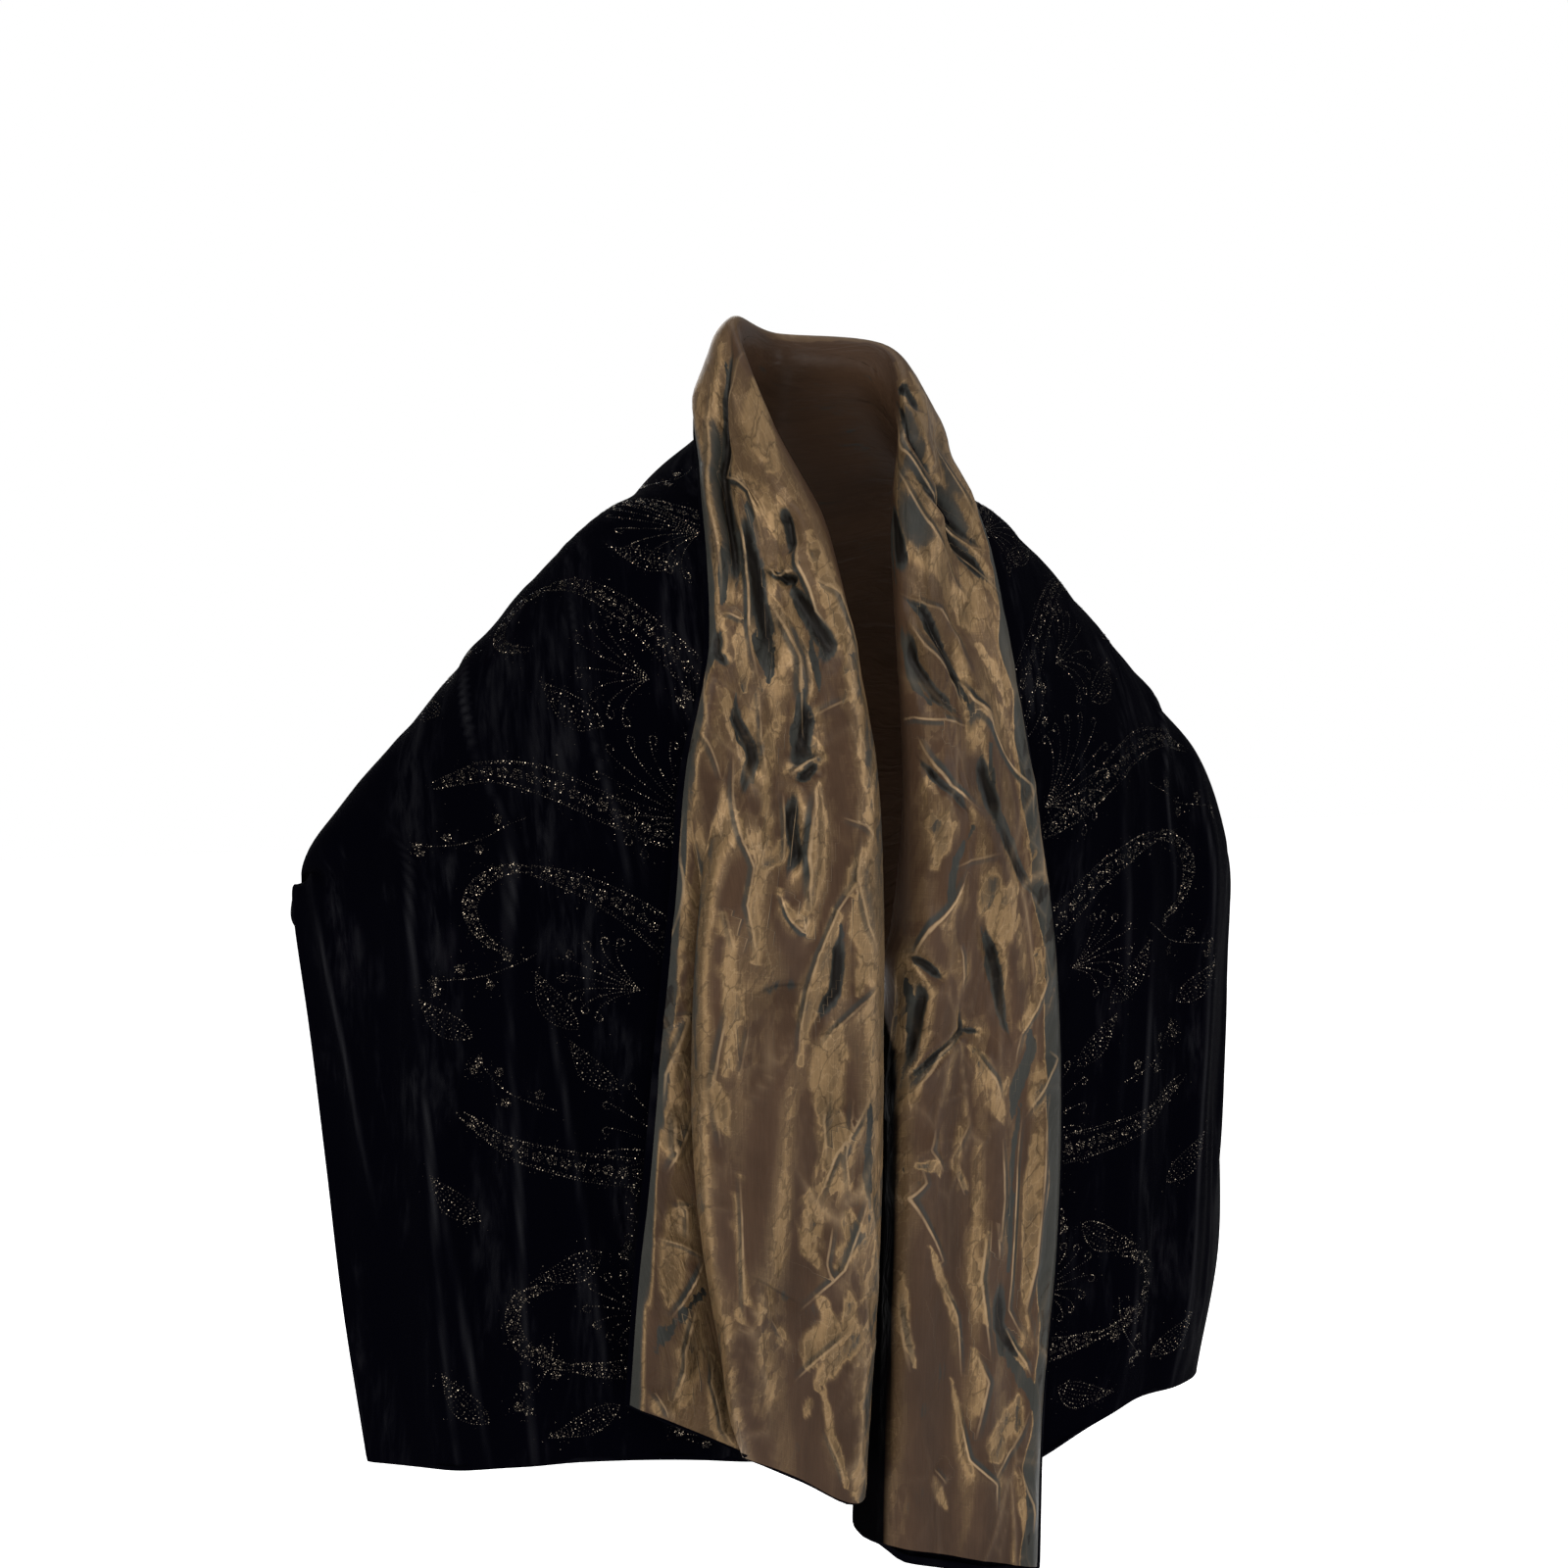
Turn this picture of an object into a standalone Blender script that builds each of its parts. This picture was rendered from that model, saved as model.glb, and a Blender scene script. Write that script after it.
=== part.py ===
"""Evening stole, worn round the shoulders: one long rectangle of velvet, lined with taffeta.

The top long edge is turned out, so that it stands as a collar round the neck and hangs as two long
lapels in front. Everything is in metres, +Z up. The front faces -Y, and X is 0 at the middle. The
origin is at the base of the neck, where the cloth is held by its wearer.
"""

import bmesh
import bpy
import numpy as np

# The walls of the two cloths, and the gap between them
VELVET_WALL = 0.0014
LINING_WALL = 0.0010
SEAM_GAP = 0.0003
MM = 0.001

# Rows along each half of the cloth, and steps across it between the lines that the tables name
ROW_COLUMNS = ("from", "rows")
ROWS = [(0.000, 7), (0.300, 8), (0.480, 4), (0.600, 11)]
STEPS_ACROSS = {
    "free": 2,
    "inner turn": 3,
    "strip back": 1,
    "outer turn": 3,
    "front layer": 1,
    "middle": 2,
    "ridge": 2,
    "roll": 2,
    "under": 2,
    "chest": 4,
    "crest": 3,
    "fall": 3,
}

# The body of the cloth on each half. Each row is a section across it, at its distance along the
# cloth from the front hem. Its points are millimetres outwards, back and up: on the chest, on the
# crest over the shoulder and arm, on the fall outside or behind it, and at the edge. The right arm
# is held a little higher, and lift is a row's share of that.
BODY_COLUMNS = ("along", "lift", "chest", "crest", "fall", "edge")
BODY_SECTIONS = [
    (100, 0.0, (105, -104, -545), (205, -84, -530), (272, -50, -528), (324, 8, -532)),
    (200, 0.0, (105, -106, -450), (212, -80, -437), (280, -42, -434), (331, 22, -438)),
    (300, 0.2, (105, -107, -352), (220, -74, -342), (290, -32, -342), (338, 38, -344)),
    (400, 0.6, (108, -106, -254), (228, -62, -248), (302, -16, -250), (346, 55, -260)),
    (480, 1.0, (110, -93, -180), (230, -30, -172), (319, 48, -222), (330, 98, -290)),
    (560, 0.1, (92, -86, -98), (190, -12, -82), (262, 62, -161), (268, 128, -308)),
    (640, -0.3, (80, -58, -28), (150, 6, -25), (205, 78, -118), (205, 142, -325)),
    (720, 0.0, (80, -18, 10), (115, 24, -3), (142, 96, -100), (138, 146, -336)),
    (800, 0.0, (58, 30, 50), (82, 56, 6), (76, 112, -110), (68, 144, -343)),
    (870, 0.0, (0, 70, 45), (0, 84, -10), (0, 122, -130), (0, 138, -346)),
]
FRONT_HEM = {
    "left": (0, 0.0, (100, -104, -626), (200, -86, -622), (262, -55, -628), (311, 0, -631)),
    "right": (0, 0.0, (100, -96, -655), (200, -84, -614), (258, -55, -611), (303, 0, -616)),
}
ARM_LIFT = {"left": 0.0, "right": 0.013}
EDGE_REACH = {"left": 1.0, "right": 0.965}

# The part that is turned out, on each half: its free edge, the ridge that shows, and the roll where
# the cloth turns. The front layer turns back on itself over a strip that ends in the free edge.
# Turn is the place of that fold, from 0 at the free edge to 1 at the ridge, and overlap is how far
# the strip reaches in behind it. Where overlap is below zero the lapel lies flat there.
LAPEL_COLUMNS = ("along", "turn", "overlap", "free", "ridge", "roll")
LAPELS = {
    "left": [
        (0, 0.52, 0.19, (172, -121, -582), (28, -144, -652), (17, -128, -648)),
        (100, 0.32, 0.17, (166, -121, -500), (22, -145, -556), (10, -129, -553)),
        (200, 0.19, 0.13, (158, -121, -420), (18, -145, -457), (5, -130, -455)),
        (300, 0.13, 0.09, (150, -121, -335), (17, -145, -358), (4, -130, -357)),
        (400, 0.12, 0.02, (141, -121, -250), (17, -143, -258), (4, -128, -258)),
        (480, 0.24, -0.16, (134, -117, -175), (20, -136, -180), (7, -124, -180)),
        (560, 0.30, -0.17, (114, -102, -108), (30, -124, -104), (18, -112, -100)),
        (640, 0.36, -0.17, (104, -72, -45), (40, -100, -32), (28, -88, -24)),
        (720, 0.42, -0.18, (92, -24, 14), (59, -52, 34), (48, -46, 44)),
        (800, 0.42, -0.18, (75, 22, 56), (60, 16, 103), (52, 10, 112)),
    ],
    "right": [
        (0, 0.42, -0.18, (118, -118, -716), (18, -120, -692), (-4, -96, -684)),
        (100, 0.42, -0.18, (122, -116, -610), (18, -122, -590), (2, -94, -585)),
        (200, 0.42, -0.18, (132, -116, -500), (19, -124, -490), (6, -94, -487)),
        (300, 0.42, -0.18, (134, -117, -395), (22, -126, -385), (9, -97, -385)),
        (400, 0.42, -0.18, (128, -118, -290), (32, -128, -280), (20, -104, -280)),
        (480, 0.42, -0.18, (118, -110, -200), (38, -126, -196), (26, -110, -194)),
        (560, 0.42, -0.18, (108, -96, -112), (36, -116, -112), (24, -104, -108)),
        (640, 0.42, -0.18, (107, -58, -32), (42, -90, -36), (30, -82, -28)),
        (720, 0.42, -0.18, (102, -12, 14), (60, -46, 36), (50, -42, 46)),
        (800, 0.42, -0.18, (93, 36, 46), (71, 24, 86), (60, 16, 96)),
    ],
}
NAPE = (870, 0.42, -0.18, (0, 106, 26), (0, 75, 98), (0, 65, 105))
# How far in front of the strip the four lines of the double turn lie, the overlaps at which it is
# flat and full, and how far apart each pair of lines is where the lapel lies flat
LAYER_DEPTHS = (0.001, 0.0085, 0.010, 0.0175)
FLAT_OVERLAP = -0.12
FULL_OVERLAP = -0.03
FLAT_SPREAD = 0.08

# How far the turned-out part curls back at its free edge, and the width that this takes up
EDGE_CURL = 0.006
CURL_WIDTH = 0.015

# Soft folds, of the body and of the lapels: where each starts and ends along the cloth, its place
# between the panel's two edges at those ends, and its height and half width, in millimetres
EDGE_FADE = 0.020
FOLD_COLUMNS = ("half", "start", "end", "place_at_start", "place_at_end", "height", "width")
BODY_FOLDS = [
    ("left", -60, 460, 0.65, 0.58, 9, 20),
    ("left", -60, 500, 0.80, 0.73, 9, 19),
    ("right", -60, 460, 0.56, 0.52, 9, 22),
    ("right", -60, 520, 0.72, 0.68, 10, 20),
    ("left", 480, 940, 0.80, 0.84, 8, 24),
    ("right", 480, 940, 0.80, 0.84, 8, 24),
    ("left", 560, 860, 0.95, 0.92, 9, 26),
    ("right", 560, 860, 0.95, 0.92, 9, 26),
]
LAPEL_FOLDS = [
    ("left", 540, 770, 0.62, 0.60, -6, 15),
    ("left", 330, 620, 0.70, 0.55, 7, 12),
    ("left", -40, 360, 0.62, 0.66, 6, 13),
    ("right", 540, 770, 0.62, 0.55, -6, 15),
    ("right", 300, 600, 0.35, 0.62, 7, 13),
    ("right", -40, 380, 0.45, 0.50, 7, 14),
]


def smooth(knots, rows, places):
    """Read a smooth curve through rows, which stand at knots, at each of places."""
    knots = np.asarray(knots, float)
    rows = np.asarray(rows, float)
    places = np.asarray(places, float)
    slopes = np.gradient(rows, knots, axis=0)
    span = np.clip(np.searchsorted(knots, places, side="right") - 1, 0, len(knots) - 2)
    width = knots[span + 1] - knots[span]
    t = (places - knots[span]) / width
    shape = (len(places),) + (1,) * (rows.ndim - 1)
    t = t.reshape(shape)
    width = width.reshape(shape)
    start = (1 + 2 * t) * (1 - t) ** 2 * rows[span] + t * (1 - t) ** 2 * width * slopes[span]
    end = t**2 * (3 - 2 * t) * rows[span + 1] - t**2 * (1 - t) * width * slopes[span + 1]
    return start + end


def named(columns, rows):
    """Name the values of each row of a table by its columns."""
    return [dict(zip(columns, row)) for row in rows]


def outwards(point, side):
    """Turn a table's point into metres, on its own side of the middle."""
    return np.array([point[0] * side, point[1], point[2]], float) * MM


def section(body, lapel, half, side):
    """Give the lines' points on one section, from the free edge to the lower edge."""
    chest, crest, fall, edge = [outwards(body[name], side) for name in BODY_COLUMNS[2:]]
    for point in (crest, fall, edge):
        point[2] += ARM_LIFT[half] * body["lift"]
    edge[0] *= EDGE_REACH[half]
    free, ridge, roll = [outwards(lapel[name], side) for name in LAPEL_COLUMNS[3:]]
    along_body = chest - roll
    along_body /= np.linalg.norm(along_body)
    reach = ridge - roll
    lengthwise = reach.dot(along_body) * along_body
    under = roll + lengthwise - (reach - lengthwise)
    turn, overlap = lapel["turn"], lapel["overlap"]
    layered = min(max((overlap - FLAT_OVERLAP) / (FULL_OVERLAP - FLAT_OVERLAP), 0), 1)
    spread = (1 - layered) * FLAT_SPREAD / 2
    inner = turn + overlap
    shares = (inner - spread, inner + spread, turn - spread, turn + spread)
    turns = []
    for share, depth in zip(shares, LAYER_DEPTHS):
        point = free + (ridge - free) * share
        point[1] += layered * (free[1] - depth - point[1])
        turns.append(point)
    middle = (turns[-1] + ridge) / 2
    return [free, *turns, middle, ridge, roll, under, chest, crest, fall, edge]


def stations():
    """List the sections from the left hem, round the nape, to the right hem."""
    found = []
    for half, side in (("left", -1), ("right", 1)):
        bodies = named(BODY_COLUMNS, [FRONT_HEM[half]] + BODY_SECTIONS)
        lapels = named(LAPEL_COLUMNS, LAPELS[half] + [NAPE])
        rows = [section(body, lapel, half, side) for body, lapel in zip(bodies, lapels)]
        places = [body["along"] * MM for body in bodies]
        if half == "left":
            found += list(zip(places, rows))
        else:
            whole = 2 * places[-1]
            found += [(whole - place, row) for place, row in zip(places[-2::-1], rows[-2::-1])]
    return np.array([place for place, _ in found]), np.array([row for _, row in found])


def across(lines, steps):
    """Read one section's curve, with the given steps between its lines."""
    chords = np.linalg.norm(np.diff(lines, axis=0), axis=1)
    knots = np.concatenate([[0], np.cumsum(chords)])
    places = [
        knots[i] + (knots[i + 1] - knots[i]) * k / count
        for i, count in enumerate(steps)
        for k in range(count)
    ]
    places.append(knots[-1])
    return smooth(knots, lines, places)


def sheet(row_table, steps):
    """Make the middle surface of the cloth: its points, and how far each row lies along."""
    places, lines = stations()
    middle = places[-1] / 2
    table = named(ROW_COLUMNS, row_table)
    ends = [row["from"] for row in table[1:]] + [middle]
    runs = [
        np.linspace(row["from"], end, row["rows"], endpoint=False)
        for row, end in zip(table, ends)
    ]
    half = np.concatenate(runs)
    along = np.concatenate([half, [middle], places[-1] - half[::-1]])
    fine = smooth(places, lines, along)
    return along, np.array([across(row, steps) for row in fine])


def normals(points):
    """Give the unit normals of a grid of points, on the velvet's side."""
    down = np.gradient(points, axis=0)
    over = np.gradient(points, axis=1)
    turned = np.cross(down, over)
    return turned / np.linalg.norm(turned, axis=2, keepdims=True)


def bump(distance, width):
    """Give a soft ridge's height, from 1 on its line to 0 well away from it."""
    return np.exp(-((distance / width) ** 2))


def reached_across(points):
    """Measure how far each point lies from the first column, along its row."""
    steps = np.linalg.norm(np.diff(points, axis=1), axis=2)
    return np.concatenate([np.zeros((len(points), 1)), np.cumsum(steps, axis=1)], axis=1)


def curl_heights(points, ridge):
    """Give how far the turned-out part curls back towards its free edge, in metres."""
    share = np.clip(1 - reached_across(points[:, : ridge + 1]) / CURL_WIDTH, 0, 1)
    return EDGE_CURL * share * share


def fold_heights(along, points, first, last, folds):
    """Sum the folds that lie between two columns of the grid, in metres."""
    reached = reached_across(points[:, first : last + 1])
    whole = reached[:, -1:]
    heights = np.zeros(reached.shape)
    half_length = along[-1] / 2
    for fold in named(FOLD_COLUMNS, folds):
        start, end = fold["start"] * MM, fold["end"] * MM
        place = along if fold["half"] == "left" else along[-1] - along
        share = (place - start) / (end - start)
        inside = np.clip(np.minimum(share, 1 - share) * 4, 0, 1)
        fade = inside * inside * (3 - 2 * inside)
        if end <= half_length:
            fade = np.where(place <= half_length, fade, 0)
        swing = fold["place_at_end"] - fold["place_at_start"]
        line = (fold["place_at_start"] + swing * np.clip(share, 0, 1))[:, None]
        shape = bump(reached - line * whole, fold["width"] * MM)
        heights += fade[:, None] * fold["height"] * MM * shape
    return heights * np.clip(np.minimum(reached, whole - reached) / EDGE_FADE, 0, 1)


def folded_sheet(row_table, steps):
    """Make the middle surface with its folds, and its normals on the velvet's side."""
    along, points = sheet(row_table, steps)
    counts = list(STEPS_ACROSS)
    ridge = sum(steps[: counts.index("ridge")])
    under = sum(steps[: counts.index("under")])
    heights = np.zeros(points.shape[:2])
    heights[:, under:] += fold_heights(along, points, under, points.shape[1] - 1, BODY_FOLDS)
    heights[:, : ridge + 1] -= fold_heights(along, points, 0, ridge, LAPEL_FOLDS)
    heights[:, : ridge + 1] += curl_heights(points, ridge)
    points = points + normals(points) * heights[:, :, None]
    return points, normals(points)


def wall(name, points, out, near, far, material):
    """Close a wall between two distances from the middle surface, and add it as an object."""
    rows, columns = points.shape[:2]
    faces = bmesh.new()
    layers = []
    for distance in (near, far):
        layers.append([[faces.verts.new(p) for p in row] for row in points + out * distance])
    for layer, turn in zip(layers, (-1, 1)):
        for i in range(rows - 1):
            for j in range(columns - 1):
                first, second = layer[i][j], layer[i + 1][j + 1]
                faces.faces.new([first, layer[i + 1][j], second][::turn])
                faces.faces.new([first, second, layer[i][j + 1]][::turn])
    rim = [(i, 0) for i in range(rows)]
    rim += [(rows - 1, j) for j in range(1, columns)]
    rim += [(i, columns - 1) for i in range(rows - 2, -1, -1)]
    rim += [(0, j) for j in range(columns - 2, 0, -1)]
    for (i, j), (k, m) in zip(rim, rim[1:] + rim[:1]):
        faces.faces.new([layers[0][i][j], layers[0][k][m], layers[1][k][m], layers[1][i][j]])
    bmesh.ops.recalc_face_normals(faces, faces=faces.faces)
    mesh = bpy.data.meshes.new(name)
    faces.to_mesh(mesh)
    faces.free()
    mesh.shade_smooth()
    mesh.materials.append(material)
    made = bpy.data.objects.new(name, mesh)
    bpy.context.collection.objects.link(made)
    return made


def cloth_material(name, colour, roughness, metallic):
    """Make a plain material in the cloth's colour."""
    material = bpy.data.materials.new(name)
    material.use_nodes = True
    shader = material.node_tree.nodes["Principled BSDF"]
    shader.inputs["Base Color"].default_value = (*colour, 1)
    shader.inputs["Roughness"].default_value = roughness
    shader.inputs["Metallic"].default_value = metallic
    return material


def build():
    """Make the velvet and the lining from the same middle surface."""
    for old in list(bpy.data.objects):
        bpy.data.objects.remove(old)
    points, out = folded_sheet(ROWS, list(STEPS_ACROSS.values()))
    velvet = cloth_material("black velvet", (0.010, 0.010, 0.012), 0.9, 0.0)
    taffeta = cloth_material("bronze taffeta", (0.16, 0.10, 0.05), 0.35, 0.6)
    half_gap = SEAM_GAP / 2
    wall("velvet_face", points, out, half_gap, half_gap + VELVET_WALL, velvet)
    wall("taffeta_lining", points, out, -half_gap - LINING_WALL, -half_gap, taffeta)


build()
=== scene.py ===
"""Looks of the evening stole: black velvet with a glitter scroll, lined with shot taffeta.

Both cloths follow the form of the CAD solids, which the tables below repeat, on a much finer grid.
Everything is in metres in the CAD frame: +Z up, the front facing -Y, and X 0 at the middle.
"""

import math

import bpy
import numpy as np
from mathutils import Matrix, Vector


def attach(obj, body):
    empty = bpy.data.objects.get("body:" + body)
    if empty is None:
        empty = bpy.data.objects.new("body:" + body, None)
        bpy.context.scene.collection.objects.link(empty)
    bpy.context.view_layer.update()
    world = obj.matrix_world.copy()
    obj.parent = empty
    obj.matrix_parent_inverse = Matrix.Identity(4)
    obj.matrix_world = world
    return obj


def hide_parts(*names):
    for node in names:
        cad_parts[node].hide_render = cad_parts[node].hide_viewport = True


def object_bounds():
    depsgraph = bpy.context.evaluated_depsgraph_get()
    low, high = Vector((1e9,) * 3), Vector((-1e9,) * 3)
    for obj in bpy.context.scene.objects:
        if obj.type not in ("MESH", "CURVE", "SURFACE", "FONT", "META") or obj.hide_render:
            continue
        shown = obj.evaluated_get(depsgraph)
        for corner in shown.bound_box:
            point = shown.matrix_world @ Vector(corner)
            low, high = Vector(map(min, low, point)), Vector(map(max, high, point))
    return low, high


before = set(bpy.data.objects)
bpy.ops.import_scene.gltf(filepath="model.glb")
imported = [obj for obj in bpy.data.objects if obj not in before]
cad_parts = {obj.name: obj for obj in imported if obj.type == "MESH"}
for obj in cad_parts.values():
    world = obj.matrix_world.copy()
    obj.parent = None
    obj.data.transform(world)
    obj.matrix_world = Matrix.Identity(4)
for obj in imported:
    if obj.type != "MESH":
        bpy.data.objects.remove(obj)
CAD_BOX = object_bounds()

MM = 0.001
VELVET_OUTSIDE = 0.00155
LINING_OUTSIDE = 0.00115

# Rows along the cloth on each half, as runs that start at a place, and steps across it between the
# lines that the form's tables name. The lining's rows are finer where it is turned out
ROW_COLUMNS = ("from", "rows")
VELVET_ROWS = [(0.000, 280)]
LINING_ROWS = [(0.000, 410), (0.780, 22)]
INSIDE_EVERY = 3
LINES = (
    "free",
    "inner turn",
    "strip back",
    "outer turn",
    "front layer",
    "middle",
    "ridge",
    "roll",
    "under",
    "chest",
    "crest",
    "fall",
)
VELVET_STEPS = (6, 6, 3, 6, 4, 5, 6, 7, 10, 34, 28, 34)
LINING_STEPS = (24, 8, 6, 8, 14, 22, 10, 8, 12, 10, 8, 6)

# The body of the cloth on each half. Each row is a section across it, at its distance along the
# cloth from the front hem. Its points are millimetres outwards, back and up: on the chest, on the
# crest over the shoulder and arm, on the fall outside or behind it, and at the edge. The right arm
# is held a little higher, and lift is a row's share of that.
BODY_COLUMNS = ("along", "lift", "chest", "crest", "fall", "edge")
BODY_SECTIONS = [
    (100, 0.0, (105, -104, -545), (205, -84, -530), (272, -50, -528), (324, 8, -532)),
    (200, 0.0, (105, -106, -450), (212, -80, -437), (280, -42, -434), (331, 22, -438)),
    (300, 0.2, (105, -107, -352), (220, -74, -342), (290, -32, -342), (338, 38, -344)),
    (400, 0.6, (108, -106, -254), (228, -62, -248), (302, -16, -250), (346, 55, -260)),
    (480, 1.0, (110, -93, -180), (230, -30, -172), (319, 48, -222), (330, 98, -290)),
    (560, 0.1, (92, -86, -98), (190, -12, -82), (262, 62, -161), (268, 128, -308)),
    (640, -0.3, (80, -58, -28), (150, 6, -25), (205, 78, -118), (205, 142, -325)),
    (720, 0.0, (80, -18, 10), (115, 24, -3), (142, 96, -100), (138, 146, -336)),
    (800, 0.0, (58, 30, 50), (82, 56, 6), (76, 112, -110), (68, 144, -343)),
    (870, 0.0, (0, 70, 45), (0, 84, -10), (0, 122, -130), (0, 138, -346)),
]
FRONT_HEM = {
    "left": (0, 0.0, (100, -104, -626), (200, -86, -622), (262, -55, -628), (311, 0, -631)),
    "right": (0, 0.0, (100, -96, -655), (200, -84, -614), (258, -55, -611), (303, 0, -616)),
}
ARM_LIFT = {"left": 0.0, "right": 0.013}
EDGE_REACH = {"left": 1.0, "right": 0.965}

# The part that is turned out, on each half: along, the place of the fold where the front layer turns
# back over a strip, how far that strip reaches in behind it, the free edge, the ridge and the roll.
LAPEL_COLUMNS = ("along", "turn", "overlap", "free", "ridge", "roll")
LAPELS = {
    "left": [
        (0, 0.52, 0.19, (172, -121, -582), (28, -144, -652), (17, -128, -648)),
        (100, 0.32, 0.17, (166, -121, -500), (22, -145, -556), (10, -129, -553)),
        (200, 0.19, 0.13, (158, -121, -420), (18, -145, -457), (5, -130, -455)),
        (300, 0.13, 0.09, (150, -121, -335), (17, -145, -358), (4, -130, -357)),
        (400, 0.12, 0.02, (141, -121, -250), (17, -143, -258), (4, -128, -258)),
        (480, 0.24, -0.16, (134, -117, -175), (20, -136, -180), (7, -124, -180)),
        (560, 0.30, -0.17, (114, -102, -108), (30, -124, -104), (18, -112, -100)),
        (640, 0.36, -0.17, (104, -72, -45), (40, -100, -32), (28, -88, -24)),
        (720, 0.42, -0.18, (92, -24, 14), (59, -52, 34), (48, -46, 44)),
        (800, 0.42, -0.18, (75, 22, 56), (60, 16, 103), (52, 10, 112)),
    ],
    "right": [
        (0, 0.42, -0.18, (118, -118, -716), (18, -120, -692), (-4, -96, -684)),
        (100, 0.42, -0.18, (122, -116, -610), (18, -122, -590), (2, -94, -585)),
        (200, 0.42, -0.18, (132, -116, -500), (19, -124, -490), (6, -94, -487)),
        (300, 0.42, -0.18, (134, -117, -395), (22, -126, -385), (9, -97, -385)),
        (400, 0.42, -0.18, (128, -118, -290), (32, -128, -280), (20, -104, -280)),
        (480, 0.42, -0.18, (118, -110, -200), (38, -126, -196), (26, -110, -194)),
        (560, 0.42, -0.18, (108, -96, -112), (36, -116, -112), (24, -104, -108)),
        (640, 0.42, -0.18, (107, -58, -32), (42, -90, -36), (30, -82, -28)),
        (720, 0.42, -0.18, (102, -12, 14), (60, -46, 36), (50, -42, 46)),
        (800, 0.42, -0.18, (93, 36, 46), (71, 24, 86), (60, 16, 96)),
    ],
}
NAPE = (870, 0.42, -0.18, (0, 106, 26), (0, 75, 98), (0, 65, 105))
LAYER_DEPTHS = (0.001, 0.0085, 0.010, 0.0175)
FLAT_OVERLAP = -0.12
FULL_OVERLAP = -0.03
FLAT_SPREAD = 0.08
# How far the turned-out part curls back at its free edge, and the width that this takes up
EDGE_CURL = 0.006
CURL_WIDTH = 0.015

# A soft swell round one spot: along that half, down from the ridge, its reach each way, and its
# height, all in millimetres. Here the lower edge draws in over the left elbow
ELBOW_EASE = (425, -452, 45, 30, 4)

# Large folds of the CAD solids
EDGE_FADE = 0.020
FOLD_COLUMNS = ("half", "start", "end", "place_at_start", "place_at_end", "height", "width")
BODY_FOLDS = [
    ("left", -60, 460, 0.65, 0.58, 9, 20),
    ("left", -60, 500, 0.80, 0.73, 9, 19),
    ("right", -60, 460, 0.56, 0.52, 9, 22),
    ("right", -60, 520, 0.72, 0.68, 10, 20),
    ("left", 480, 940, 0.80, 0.84, 8, 24),
    ("right", 480, 940, 0.80, 0.84, 8, 24),
    ("left", 560, 860, 0.95, 0.92, 9, 26),
    ("right", 560, 860, 0.95, 0.92, 9, 26),
]
LAPEL_FOLDS = [
    ("left", 540, 770, 0.62, 0.60, -6, 15),
    ("left", 330, 620, 0.70, 0.55, 7, 12),
    ("left", -40, 360, 0.62, 0.66, 6, 13),
    ("right", 540, 770, 0.62, 0.55, -6, 15),
    ("right", 300, 600, 0.35, 0.62, 7, 13),
    ("right", -40, 380, 0.45, 0.50, 7, 14),
]


def smooth(knots, rows, places):
    """Read a smooth curve through rows, which stand at knots, at each of places."""
    knots = np.asarray(knots, float)
    rows = np.asarray(rows, float)
    places = np.asarray(places, float)
    slopes = np.gradient(rows, knots, axis=0)
    span = np.clip(np.searchsorted(knots, places, side="right") - 1, 0, len(knots) - 2)
    width = knots[span + 1] - knots[span]
    t = (places - knots[span]) / width
    shape = (len(places),) + (1,) * (rows.ndim - 1)
    t = t.reshape(shape)
    width = width.reshape(shape)
    start = (1 + 2 * t) * (1 - t) ** 2 * rows[span] + t * (1 - t) ** 2 * width * slopes[span]
    end = t**2 * (3 - 2 * t) * rows[span + 1] - t**2 * (1 - t) * width * slopes[span + 1]
    return start + end


def named(columns, rows):
    """Name the values of each row of a table by its columns."""
    return [dict(zip(columns, row)) for row in rows]


def outwards(point, side):
    """Turn a table's point into metres, on its own side of the middle."""
    return np.array([point[0] * side, point[1], point[2]], float) * MM


def section(body, lapel, half, side):
    """Give the lines' points on one section, from the free edge to the lower edge."""
    chest, crest, fall, edge = [outwards(body[name], side) for name in BODY_COLUMNS[2:]]
    for point in (crest, fall, edge):
        point[2] += ARM_LIFT[half] * body["lift"]
    edge[0] *= EDGE_REACH[half]
    free, ridge, roll = [outwards(lapel[name], side) for name in LAPEL_COLUMNS[3:]]
    along_body = chest - roll
    along_body /= np.linalg.norm(along_body)
    reach = ridge - roll
    lengthwise = reach.dot(along_body) * along_body
    under = roll + lengthwise - (reach - lengthwise)
    turn, overlap = lapel["turn"], lapel["overlap"]
    layered = min(max((overlap - FLAT_OVERLAP) / (FULL_OVERLAP - FLAT_OVERLAP), 0), 1)
    spread = (1 - layered) * FLAT_SPREAD / 2
    inner = turn + overlap
    shares = (inner - spread, inner + spread, turn - spread, turn + spread)
    turns = []
    for share, depth in zip(shares, LAYER_DEPTHS):
        point = free + (ridge - free) * share
        point[1] += layered * (free[1] - depth - point[1])
        turns.append(point)
    middle = (turns[-1] + ridge) / 2
    return [free, *turns, middle, ridge, roll, under, chest, crest, fall, edge]


def stations():
    """List the sections from the left hem, round the nape, to the right hem."""
    found = []
    for half, side in (("left", -1), ("right", 1)):
        bodies = named(BODY_COLUMNS, [FRONT_HEM[half]] + BODY_SECTIONS)
        lapels = named(LAPEL_COLUMNS, LAPELS[half] + [NAPE])
        rows = [section(body, lapel, half, side) for body, lapel in zip(bodies, lapels)]
        places = [body["along"] * MM for body in bodies]
        if half == "left":
            found += list(zip(places, rows))
        else:
            whole = 2 * places[-1]
            found += [(whole - place, row) for place, row in zip(places[-2::-1], rows[-2::-1])]
    return np.array([place for place, _ in found]), np.array([row for _, row in found])


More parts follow.
